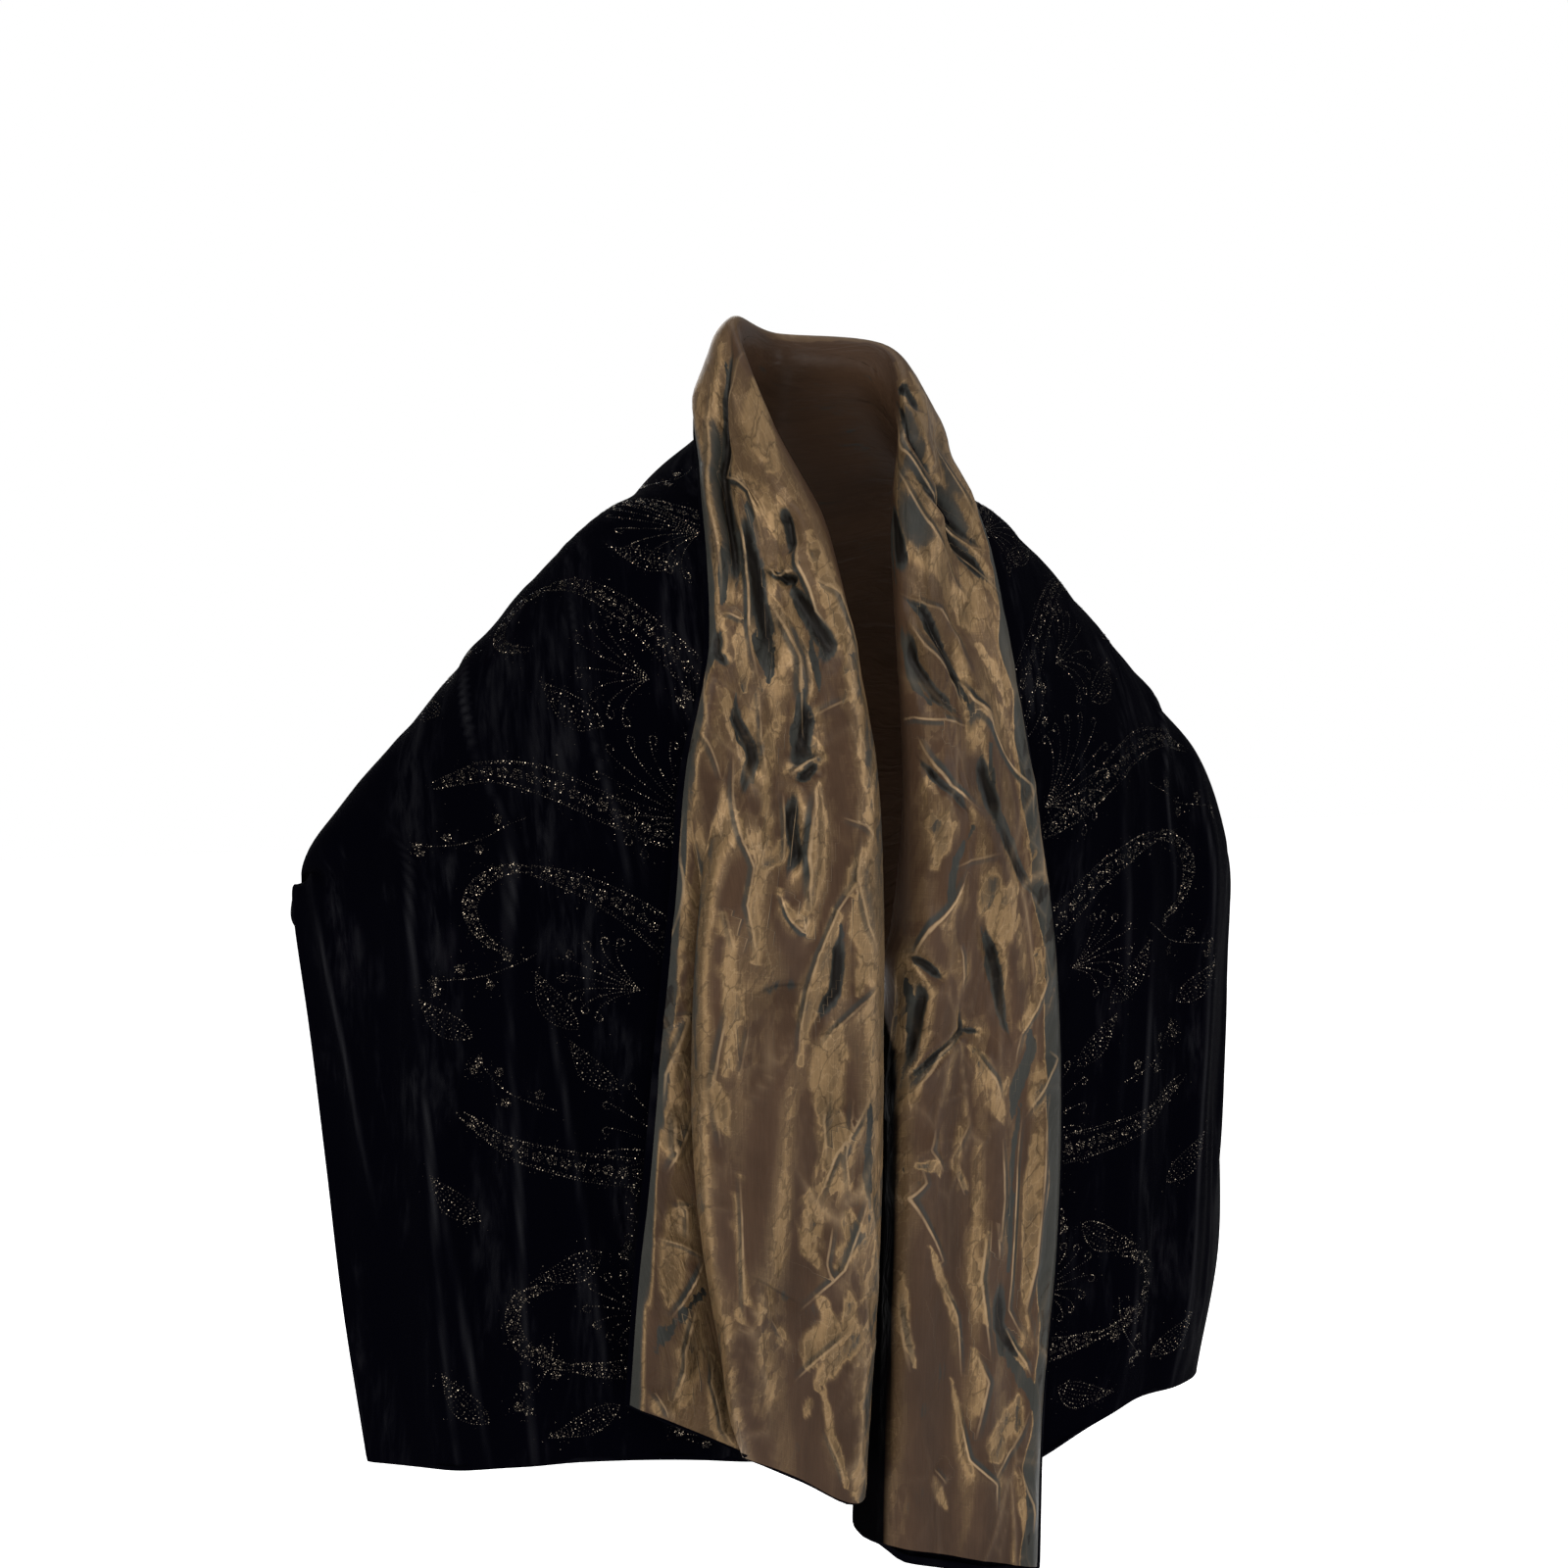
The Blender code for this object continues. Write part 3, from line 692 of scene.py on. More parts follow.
def crumple(u, v, seed):
    """Read a net of sharp creases between flatter patches, 1 on a crease, measured in cells."""
    u = u + 0.45 * noise(u * 0.7, v * 0.7, seed + 100)
    v = v + 0.45 * noise(u * 0.7, v * 0.7, seed + 200)
    table = np.random.default_rng(seed).uniform(0, 1, (NOISE_CELLS, NOISE_CELLS, 2))
    i = np.floor(u).astype(int)
    j = np.floor(v).astype(int)
    nearest = np.full(u.shape, 9.0)
    second = np.full(u.shape, 9.0)
    for di in (-1, 0, 1):
        for dj in (-1, 0, 1):
            cell = table[(i + di) % NOISE_CELLS, (j + dj) % NOISE_CELLS]
            distance = np.hypot(i + di + cell[..., 0] - u, j + dj + cell[..., 1] - v)
            second = np.minimum(second, np.maximum(nearest, distance))
            nearest = np.minimum(nearest, distance)
    return np.exp(-(second - nearest) / CRUMPLE_SHARPNESS)


def rows_beside(along, length, half, line, margin):
    """Give the grid's rows near a line of one half, and their places along it in millimetres."""
    place = (along[:, 0] if half == "left" else length - along[:, 0]) / MM
    near = (place > line[:, 0].min() - margin) & (place < line[:, 0].max() + margin)
    rows = slice(near.argmax(), len(near) - near[::-1].argmax())
    return rows, np.broadcast_to(place[rows, None], along[rows].shape)


def from_line(line, place, fall):
    """Measure each place's distance from a line, its side, and how far along the line it stands."""
    reach = np.concatenate([[0], np.cumsum(np.linalg.norm(np.diff(line, axis=0), axis=1))])
    nearest = np.full(fall.shape, 1e9)
    side = np.zeros(fall.shape)
    share = np.zeros(fall.shape)
    for start, end, first, last in zip(line, line[1:], reach, reach[1:]):
        step = end - start
        t = ((place - start[0]) * step[0] + (fall - start[1]) * step[1]) / step.dot(step)
        t = np.clip(t, 0, 1)
        off_along = place - start[0] - t * step[0]
        off_down = fall - start[1] - t * step[1]
        distance = np.hypot(off_along, off_down)
        closer = distance < nearest
        nearest = np.where(closer, distance, nearest)
        turn = np.sign((step[0] * off_down - step[1] * off_along) * (step[0] or step[1]))
        side = np.where(closer, np.where(turn == 0, 1, turn), side)
        share = np.where(closer, (first + t * (last - first)) / reach[-1], share)
    return nearest, side, share


def painted_leans(along, down, length, least, most):
    """Give the table's painted leans between least and most at their places, and 0 elsewhere."""
    field = np.zeros(down.shape)
    for half, lean, half_width, line in PAINTED_LEANS:
        if not least <= lean < most:
            continue
        line = np.array(line, float)
        rows, place = rows_beside(along, length, half, line, 3 * half_width)
        fall = down[rows] / MM
        nearest, _, share = from_line(line, place, fall)
        ragged = waves(place, fall, RAGGED_WAVES)
        nearest = np.maximum(nearest + ragged * min(RAGGED_SHARE * half_width, RAGGED_MOST), 0)
        wide = half_width * (0.15 + 0.95 * np.sin(np.pi * np.clip(share, 0.02, 0.98)) ** 0.6)
        amount = lean * (1 - fade_from(nearest / wide - LEAN_FADE_START, LEAN_FADE))
        amount *= 1 + 0.14 * noise(place / 18, fall / 7, 73)
        field[rows] = np.maximum(field[rows], amount)
    return field


class Creases:
    """What the listed creases give on a grid: their relief, and the lines drawn on them.

    Heights are in metres. Crest and trough lines are kept as distances from the nearest line in
    millimetres, above zero on a crest's steeper side, with the strength of that line; they place a
    painted highlight along crests and painted shade along troughs. The shade is the painted shade in
    each trough.
    """

    def __init__(self, along, down, length, creases):
        self.heights = np.zeros(down.shape)
        self.shade = np.zeros(down.shape)
        self.crest, self.trough = [np.full(down.shape, FAR) for _ in range(2)]
        self.crest_power, self.trough_power = [np.zeros(down.shape) for _ in range(2)]
        crest_pull, trough_pull = [np.zeros(down.shape) for _ in range(2)]
        for half, height, ridge_width, free_width, line in creases:
            line = np.array(line, float)
            margin = 4 * max(ridge_width, free_width)
            rows, place = rows_beside(along, length, half, line, margin)
            nearest, side, share = from_line(line, place, down[rows] / MM)
            width = np.where(side > 0, free_width, ridge_width)
            ends = np.clip(np.minimum(share, 1 - share) / CREASE_TAPER, 0, 1)
            tall = height * MM * np.maximum(ends, 0.15)
            power = ends * min(abs(height) / 5, 1)
            steep = 1 if free_width <= ridge_width else -1
            pull = power * np.exp(-nearest / 3)
            if height > 0:
                off_crest = np.hypot(nearest, CREST_ROUND) - CREST_ROUND
                self.heights[rows] += tall * np.exp(-off_crest / width)
                fields = (self.crest, self.crest_power, crest_pull)
            else:
                self.heights[rows] += tall * bump(nearest, width)
                # Painted shade in the trough
                shade = power * bump(nearest, 0.75 * width)
                self.shade[rows] = np.maximum(self.shade[rows], shade)
                fields = (self.trough, self.trough_power, trough_pull)
            stronger = pull > fields[2][rows]
            for field, value in zip(fields, (nearest * side * steep, power, pull)):
                field[rows] = np.where(stronger, value, field[rows])


def fade_from(distance, width):
    """Rise softly from 0 to 1 over a width."""
    t = np.clip(distance / width, 0, 1)
    return t * t * (3 - 2 * t)


def lining_fields(form):
    """Give the lining's relief, its creases, the painted highlight on the lines of its small net and
    how crumpled it is.
    """
    along = np.broadcast_to(form.along[:, None], form.down.shape)
    u = along / MM
    v = form.down / MM
    from_end = np.minimum(u, form.along[-1] / MM - u)
    smoother = 1 - COLLAR_SMOOTHING * fade_from(from_end - COLLAR_START, COLLAR_FADE)
    heights = LINING_EASE + MM * smoother * waves(u, v, SWELLS)
    amount = np.clip(CRUMPLED_MEAN + waves(u, v, CRUMPLED_PATCHES), 0, CRUMPLED_MOST) * smoother
    net_crest_highlights = np.zeros(v.shape)
    for cell_across, cell_along, height, seed in CRUMPLES:
        net = amount * crumple(v / cell_across, u / cell_along, seed)
        heights += height * MM * net
        net_crest_highlights = np.maximum(net_crest_highlights, NET_CREST_HIGHLIGHT * height * net**3)
    heights = np.maximum(heights, 0)
    creases = Creases(along, form.down, form.along[-1], CREASES)
    heights += creases.heights
    free_side = form.down[:, :1] - form.down
    body_side = form.down - form.down[:, -1:]
    heights *= fade_from(np.minimum(free_side, body_side), CREASE_FADE)
    inner, outer = form.column["strip back"], form.column["front layer"]
    gap = form.points[:, inner, 1] - form.points[:, outer, 1]
    layered = np.clip(gap / LAYERS_APART, 0, 1)[:, None]
    turn_in = form.down[:, inner : inner + 1]
    turn_out = form.down[:, outer : outer + 1]
    past = np.maximum(form.down - turn_in, turn_out - form.down)
    heights *= 1 - layered * (1 - fade_from(past, CREASE_FADE))
    off_roll = np.abs(form.down - ROLL_MIDDLE)
    heights *= ROLL_RELIEF + (1 - ROLL_RELIEF) * fade_from(off_roll, ROLL_REACH)
    return heights, creases, net_crest_highlights, np.maximum(amount, CRUMPLED_LEAST)


def give_behind(form):
    """Give how far the hidden velvet stands back behind the lining's troughs."""
    along = np.broadcast_to(form.along[:, None], form.down.shape)
    troughs = [
        (half, height * GIVE_DEEPER, ridge_width + GIVE_WIDER, free_width + GIVE_WIDER, line)
        for half, height, ridge_width, free_width, line in CREASES
        if height < 0
    ]
    depths = -Creases(along, form.down, form.along[-1], troughs).heights
    edges = np.minimum(form.down[:, :1] - form.down, form.down + GIVE_END)
    return depths * fade_from(edges, CREASE_FADE)


def add_cloth(name, parts, material, turned=False):
    """Add grids of points as one sheet. A part has its points, its facing and its other values."""
    mesh = bpy.data.meshes.new(name)
    verts, quads = [], []
    for points, _, _ in parts:
        rows, columns = points.shape[:2]
        index = np.arange(rows * columns).reshape(rows, columns) + sum(len(part) for part in verts)
        corners = [index[:-1, :-1], index[1:, :-1], index[1:, 1:], index[:-1, 1:]]
        quads.append(np.stack(corners[::-1] if turned else corners, axis=-1).reshape(-1, 4))
        verts.append(points.reshape(-1, 3))
    mesh.from_pydata(np.concatenate(verts).tolist(), [], np.concatenate(quads).tolist())
    for key, first in parts[0][2].items():
        kind, field_name = ("FLOAT_VECTOR", "vector") if first.ndim == 3 else ("FLOAT", "value")
        field = mesh.attributes.new(key, kind, "POINT")
        field.data.foreach_set(field_name, np.concatenate([part[2][key].ravel() for part in parts]))
    mesh.shade_smooth()
    facing = np.concatenate([part[1].reshape(-1, 3) for part in parts])
    mesh.normals_split_custom_set_from_vertices(facing.tolist())
    mesh.materials.append(material)
    piece = bpy.data.objects.new(name, mesh)
    bpy.context.collection.objects.link(piece)
    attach(piece, "root")
    return piece


def cloth_places(form):
    """Give each point's place on the flat cloth: along it and down from the ridge."""
    along = np.broadcast_to(form.along[:, None], form.down.shape)
    return np.stack([along, form.down, np.zeros(form.down.shape)], axis=-1)


def on_halves(form, tables):
    """Read each half's table at the grid's rows, by their distance from that half's hem."""
    from_end = np.minimum(form.along, form.along[-1] - form.along) / MM
    left = form.along < form.along[-1] / 2
    values = [np.interp(from_end, *zip(*tables[half])) for half in ("left", "right")]
    return np.where(left, *values)[:, None]


def ridge_shares(form):
    """Give the share of the slope that counts as lean for the painted highlight and shade, which is
    less here and there on the ridge.
    """
    near = 1 - fade_from(form.down - RIDGE_REACH, RIDGE_REACH)
    return 1 - near * (1 - on_halves(form, RIDGE_SLATE))


def edge_shade_shares(form):
    """Give 1 on the band that rounds back at the turned-out part's free edge, painted as slate shade,
    and 0 inside it.
    """
    width = on_halves(form, EDGE_BANDS) * MM
    reached = form.down[:, :1] - form.down
    wave = 1 + 0.25 * noise(form.along[:, None] / 0.030 + reached * 0, reached * 0, 61)
    return 1 - fade_from(reached - width * wave, EDGE_BAND_FADE)


def gap_shadow_shares(form):
    """Give 1 in the deep gap between the two lapels, where its shadow is painted, and 0 outside it."""
    from_end = (form.along[-1] - form.along[:, None]) / MM
    knots, starts = zip(*GAP)
    start = np.interp(from_end, knots, starts, right=GAP_BEYOND) * MM
    started = fade_from(start - form.down, GAP_START_FADE * MM)
    return started * fade_from(form.down - GAP_END * MM, GAP_END_FADE * MM)


def turned_out(form):
    """Give 1 on the turned-out part and 0 on the body, with a soft step below the ridge."""
    return fade_from(form.down + BODY_START, BODY_START)


def make_lining(material):
    """Make the taffeta, with finer rows where it is turned out than inside the hollow."""
    form = Form(LINING_ROWS, LINING_STEPS)
    heights, creases, net_crest_highlights, crumpled = lining_fields(form)
    heights += swell(form.along[-1] - form.along[:, None], form.down, ROLL_SWELL)
    points = form.points - form.out * (LINING_OUTSIDE + heights)[:, :, None]
    facing = -normals(points)
    to_side = (facing * form.across[:, None, :]).sum(axis=2)
    base_across = unit(np.gradient(form.points, axis=1))
    inside = (facing * base_across).sum(axis=2)
    # The relief's slope becomes painted highlight and shade through the lean
    slope = np.abs(np.where(form.down > -BODY_START, to_side * ridge_shares(form), inside))
    places = cloth_places(form)
    from_end = np.minimum(form.along, form.along[-1] - form.along)[:, None] / MM
    # Painted bronze and gold highlight, and painted slate shade, from the table of leans
    placed = painted_leans(places[..., 0], form.down, form.along[-1], 0, SLATE_LEAN)
    slate = painted_leans(places[..., 0], form.down, form.along[-1], SLATE_LEAN, 1)
    lying = np.interp(from_end, *zip(*PLAIN_LIGHT_LEAN)) * turned_out(form) + RELIEF_LEAN * slope
    lean = np.maximum(placed, lying) + LESSER_LEAN * np.minimum(placed, lying)
    values = {
        "cloth": places,
        "lean": np.maximum(lean, EDGE_LEAN * edge_shade_shares(form)),
        "slate": slate,
        "crumpled": crumpled,
        # Painted shadow in the deep gap between the lapels
        "gap": gap_shadow_shares(form),
        "net": net_crest_highlights,
        "shade": creases.shade,
        "crest": creases.crest,
        "crest_power": creases.crest_power,
        "trough": creases.trough,
        "trough_power": creases.trough_power,
    }
    under = form.column["under"]
    parts = []
    for rows, columns in (
        (slice(None), slice(None, under + 1)),
        (slice(None, None, INSIDE_EVERY), slice(under, None)),
    ):
        part = {key: value[rows, columns] for key, value in values.items()}
        parts.append((points[rows, columns], facing[rows, columns], part))
    lining = add_cloth("lining_cloth", parts, material, turned=True)
    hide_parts("taffeta_lining")
    return lining


def lower_hem(form):
    """Let the velvet hang a little lower than the lining at the turned-out end of the right half."""
    from_end = form.along[-1] - form.along[:, None]
    share = np.clip(1 - from_end / HEM_DROP_FADE, 0, 1) ** 2
    share = share * turned_out(form) * (1 - fade_from(form.down - HEM_DROP_END, HEM_DROP_END_FADE))
    below = unit(form.points[-1] - form.points[-2])
    form.points += below[None] * (HEM_DROP * share)[:, :, None]
    form.out = normals(form.points)


def make_velvet(material):
    """Make the velvet, with its soft folds. Give the piece, its form and its outer points."""
    form = Form(VELVET_ROWS, VELVET_STEPS)
    lower_hem(form)
    under = form.column["under"]
    last = form.points.shape[1] - 1
    heights = np.zeros(form.down.shape)
    heights[:, under:] = fold_heights(form.along, form.points, under, last, VELVET_FOLDS)
    u = np.broadcast_to(form.along[:, None], form.down.shape) / MM
    v = form.down / MM
    above_edge = form.down - form.down[:, -1:]
    below = fade_from(-form.down - WAVES_START, WAVES_START) * fade_from(above_edge, WAVES_EDGE)
    heights += waves(u, v, VELVET_WAVES) * MM * below
    elbow = swell(form.along[:, None], form.down, ELBOW_SWELL)
    heights += elbow * fade_from(above_edge, ELBOW_FADE)
    heights = np.maximum(heights, VELVET_LEAST) + give_behind(form)
    points = form.points + form.out * (VELVET_OUTSIDE + heights)[:, :, None]
    # Painted sheen along the crests of the velvet's folds
    crest_sheen = np.zeros(form.down.shape)
    sheen_hairlines = [(*fold[:5], 1 / MM, SHEEN_HAIRLINE) for fold in BODY_FOLDS + VELVET_FOLDS]
    crest_sheen[:, under:] = fold_heights(form.along, form.points, under, last, sheen_hairlines)
    values = {"cloth": cloth_places(form), "crest": crest_sheen}
    velvet = add_cloth("velvet_cloth", [(points, normals(points), values)], material)
    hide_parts("velvet_face")
    return velvet, form, points


# The seam round the edges, where the velvet rolls over to the lining's side. Each point of its
# section is a distance past the edge and towards the velvet's side, in millimetres
SEAM_SECTION = (
    (-1.5, 1.6), (0.4, 1.75), (1.7, 1.0), (2.1, 0.0),
    (1.7, -1.0), (0.5, -1.7), (-3.0, -1.9), (-3.8, -1.0),
)
# How far apart the seam's rows and columns stand on its flat cloth
SEAM_PITCH = (0.003, 0.001)


def rim(form):
    """Walk round the edge of the form: its points, the directions past the edge and the normals."""
    points, out = form.points, form.out
    ahead = unit(points[:, 0] - points[:, 1])
    below = unit(points[:, -1] - points[:, -2])
    start = unit(points[0] - points[1])
    end = unit(points[-1] - points[-2])
    walks = [
        (points[:, 0], ahead, out[:, 0]),
        (points[-1], end, out[-1]),
        (points[::-1, -1], below[::-1], out[::-1, -1]),
        (points[0, ::-1], start[::-1], out[0, ::-1]),
    ]
    path = np.concatenate([walk[0][:-1] for walk in walks])
    past = np.concatenate([walk[1][:-1] for walk in walks])
    normal = np.concatenate([walk[2][:-1] for walk in walks])
    for corner in np.cumsum([0] + [len(walk[0]) - 1 for walk in walks[:-1]]):
        past[corner] = unit(past[corner] + past[corner - 1])
    return path, past, normal


def make_seam(form, material):
    """Make the rolled seam round all four edges."""
    path, past, normal = rim(form)
    columns = [path + past * reach * MM + normal * rise * MM for reach, rise in SEAM_SECTION]
    grid = np.stack(columns, axis=1)
    grid = np.concatenate([grid, grid[:1]], axis=0)
    places = np.zeros(grid.shape)
    places[..., 0] = np.arange(len(grid))[:, None] * SEAM_PITCH[0]
    places[..., 1] = np.arange(grid.shape[1])[None] * SEAM_PITCH[1]
    values = {"cloth": places, "crest": np.zeros(grid.shape[:2])}
    seam = add_cloth("edge_seam", [(grid, -normals(grid), values)], material, turned=True)
    return seam


# The glitter scroll, drawn on the flat cloth in millimetres: along from the left hem, and down the
# velvet from the ridge. The right half is the left half turned over.
DOT = 0.34
DOT_PITCH = 1.8
# Loose dots round the drawn ones: their share, how far they stray, and their size beside a drawn dot
DUST_SHARE = 0.35
DUST_STRAY = 5.0
DUST_SIZE = 0.6
# A flake's size is its dot's times a share from this range, and it stands this far off the velvet
FLAKE_SHARES = (0.7, 1.35)
DOT_RISE = 0.3
# How far each dot strays, how much its flake tilts, and how far dots keep from the cloth's edges
DOT_STRAY = 0.12
FLAKE_TILT = 0.22
LOWER_MARGIN = 0.004
HEM_MARGIN = 0.006
FLOWER_SIZE = 3.4
# Scrolls: root, first and second pull, tip, and half width at the widest
SCROLLS = [
    ((215, 128), (300, 110), (390, 165), (405, 262), 13),
    ((405, 262), (410, 310), (360, 318), (352, 280), 5),
    ((190, 128), (120, 118), (60, 150), (66, 236), 12),
    ((66, 236), (72, 285), (120, 290), (122, 252), 5),
    ((205, 140), (215, 190), (190, 250), (238, 312), 10),
    ((430, 120), (500, 90), (560, 130), (585, 235), 13),
    ((585, 235), (592, 280), (545, 290), (540, 252), 5),
    ((425, 140), (440, 210), (480, 250), (470, 322), 10),
    ((640, 60), (650, 130), (700, 150), (690, 240), 11),
    ((690, 240), (684, 282), (640, 280), (648, 244), 5),
    ((870, 30), (850, 90), (800, 110), (782, 190), 12),
    ((782, 190), (770, 240), (812, 262), (822, 222), 5),
]
# Palmettes: root, the way they face in degrees from along the cloth, spread, rays and length
PALMETTES = [
    ((218, 150), 62, 95, 11, 74),
    ((185, 150), 130, 80, 9, 62),
    ((445, 150), 60, 90, 10, 70),
    ((330, 195), 75, 70, 8, 52),
    ((110, 185), 80, 80, 8, 46),
    ((640, 120), 90, 100, 10, 64),
    ((870, 120), 90, 110, 13, 78),
    ((760, 250), 80, 80, 8, 46),
    ((530, 170), 85, 80, 8, 50),
]
# Leaves: foot, tip, and half width
LEAVES = [
    ((300, 235), (338, 262), 9),
    ((262, 210), (292, 240), 8),
    ((150, 220), (128, 262), 9),
    ((40, 205), (18, 250), 8),
    ((30, 290), (62, 322), 8),
    ((165, 300), (196, 332), 8),
    ((292, 305), (318, 338), 8),
    ((500, 205), (520, 245), 9),
    ((410, 100), (392, 70), 8),
    ((610, 140), (612, 190), 8),
    ((730, 150), (722, 196), 9),
    ((830, 290), (800, 322), 8),
    ((600, 320), (640, 334), 8),
    ((520, 320), (548, 336), 7),
]
# Sprigs: foot, tip, and how many flowers stand on them
SPRIGS = [
    ((350, 262), (330, 330), 4),
    ((245, 250), (276, 300), 4),
    ((90, 250), (40, 270), 4),
    ((132, 160), (150, 205), 3),
    ((440, 262), (425, 335), 4),
    ((560, 290), (575, 340), 4),
    ((490, 120), (520, 150), 3),
    ((660, 270), (700, 310), 4),
    ((740, 90), (725, 130), 3),
    ((850, 220), (870, 300), 5),
    ((365, 130), (345, 165), 3),
    ((30, 120), (20, 165), 3),
]


def bezier(root, first, second, tip, count):
    """Read a curve between two points with two pulls."""
    t = np.linspace(0, 1, count)[:, None]
    root, first, second, tip = [np.array(p, float) for p in (root, first, second, tip)]
    return (1 - t) ** 3 * root + 3 * t * (1 - t) ** 2 * first + 3 * t**2 * (1 - t) * second + t**3 * tip


def beads(line, pitch):
    """Place points at even steps on a line of points."""
    reach = np.concatenate([[0], np.cumsum(np.linalg.norm(np.diff(line, axis=0), axis=1))])
    places = np.linspace(0, reach[-1], max(int(reach[-1] / pitch), 2))
    return np.stack([np.interp(places, reach, line[:, k]) for k in (0, 1)], axis=1)


def sideways(line):
    """Give the unit direction to the side of each point of a line."""
    ahead = unit(np.gradient(line, axis=0))
    return np.stack([-ahead[:, 1], ahead[:, 0]], axis=1)


def flower(centre, size, turn):
    """Draw a small five-petalled flower."""
    dots = [np.array(centre)]
    for petal in range(5):
        angle = turn + petal * math.tau / 5
        for reach, swing in ((0.55, 0), (0.85, 0.3), (0.85, -0.3), (1.05, 0)):
            way = np.array([math.cos(angle + swing), math.sin(angle + swing)])
            dots.append(centre + way * reach * size)
    return dots


def scroll(root, first, second, tip, half_width):
    """Draw a scroll: a dotted outline that widens and narrows, with flowers along its middle."""
    line = bezier(root, first, second, tip, 60)
    share = np.linspace(0, 1, len(line))
    width = half_width * (0.25 + np.sin(np.pi * share**0.8) ** 0.8 * 0.75)
    side = sideways(line)
    dots = []
    for edge in (-1, 1):
        dots += list(beads(line + side * (width * edge)[:, None], DOT_PITCH))
        dots += list(beads(line + side * (width * 0.82 * edge)[:, None], DOT_PITCH * 1.6))
    middle = beads(line, 2.6 * FLOWER_SIZE)
    for number, centre in enumerate(middle[1:-1]):
        dots += flower(centre, FLOWER_SIZE, number * 0.7)
    return dots


def palmette(root, facing, spread, rays, length):
    """Draw a fan of dotted rays that curl outwards, the middle ones longest."""
    dots = []
    for ray in range(rays):
        swing = (ray / (rays - 1) - 0.5) * 2
        angle = math.radians(facing + swing * spread / 2)
        way = np.array([math.cos(angle), math.sin(angle)])
        over = np.array([-way[1], way[0]]) * swing
        reach = length * (1 - 0.35 * abs(swing))
        foot = np.array(root, float)
        tip = foot + way * reach + over * reach * 0.30
        line = bezier(foot, foot + way * reach * 0.4, foot + way * reach * 0.8, tip, 24)
        dots += list(beads(line, DOT_PITCH))
        curl = np.linspace(0, 4.2, 9)[:, None]
        turn = angle + 1.2 * swing
        ahead = np.array([math.cos(turn), math.sin(turn)])
        beside = np.array([-ahead[1], ahead[0]]) * (1 if swing >= 0 else -1)
        dots += list(tip + 2.4 * (np.sin(curl) * ahead + (1 - np.cos(curl)) * beside))
    return dots


def leaf(foot, tip, half_width):
    """Draw a leaf: a dotted outline, a midrib and rows of dots across it."""
    foot, tip = np.array(foot, float), np.array(tip, float)
    way = tip - foot
    side = np.array([-way[1], way[0]]) / np.linalg.norm(way)
    share = np.linspace(0, 1, 30)[:, None]
    bow = side * np.sin(np.pi * share) * half_width * 0.5
    line = foot + way * share + bow
    dots = list(beads(line, DOT_PITCH * 1.3))
    for edge in (-1, 1):
        outline = line + side * edge * half_width * np.sin(np.pi * share**0.75)
        dots += list(beads(outline, DOT_PITCH))
        for inner in (0.35, 0.68):
            row = line + (outline - line) * inner
            dots += list(beads(row[4:-3], DOT_PITCH * 1.7))
    return dots


def sprig(foot, tip, flowers):
    """Draw a stem with small flowers on short stalks to each side."""
    foot, tip = np.array(foot, float), np.array(tip, float)
    way = tip - foot
    side = np.array([-way[1], way[0]]) / np.linalg.norm(way)
    share = np.linspace(0, 1, 30)[:, None]
    line = foot + way * share + side * np.sin(np.pi * share) * 6
    dots = list(beads(line, DOT_PITCH))
    for number in range(flowers):
        place = line[int((number + 1) / flowers * 29)]
        head = place + side * (7 if number % 2 else -7)
        dots += list(beads(np.array([place, head]), DOT_PITCH))
        dots += flower(head, FLOWER_SIZE * 0.85, number * 0.9)
    dots += flower(tip, FLOWER_SIZE * 0.85, 0.2)
    return dots


def glitter_places(length):
    """List every dot of the scroll on the flat cloth, in metres, on both halves, and their sizes."""
    dots = []
    for motif, table in ((scroll, SCROLLS), (palmette, PALMETTES), (leaf, LEAVES), (sprig, SPRIGS)):
        for row in table:
            dots += motif(*row)
    dots = np.array(dots)
    chance = np.random.default_rng(8)
    dust = dots[chance.random(len(dots)) < DUST_SHARE]
    sizes = np.repeat([1.0, DUST_SIZE], [len(dots), len(dust)])
    dots = np.concatenate([dots, dust + chance.normal(0, DUST_STRAY, dust.shape)]) * MM
    mirrored = np.stack([length - dots[:, 0], dots[:, 1]], axis=1)
    return np.concatenate([dots, mirrored]), np.concatenate([sizes, sizes])


def on_cloth(form, grid, places):
    """Find the points of a grid at places on the cloth, as along and down the velvet."""
    row = places[:, 0] / form.along[-1] * (len(form.along) - 1)
    first = np.clip(np.floor(row).astype(int), 0, len(form.along) - 2)
    found = np.zeros((len(places), 3))
    columns = np.arange(grid.shape[1])
    for number in np.unique(first):
        here = first == number
        part = (row[here] - number)[:, None]
        ends = []
        for line in (number, number + 1):
            column = np.interp(places[here, 1], -form.down[line], columns)
            point = [np.interp(column, columns, grid[line, :, k]) for k in range(3)]
            ends.append(np.stack(point, axis=1))
        found[here] = ends[0] * (1 - part) + ends[1] * part
    return found


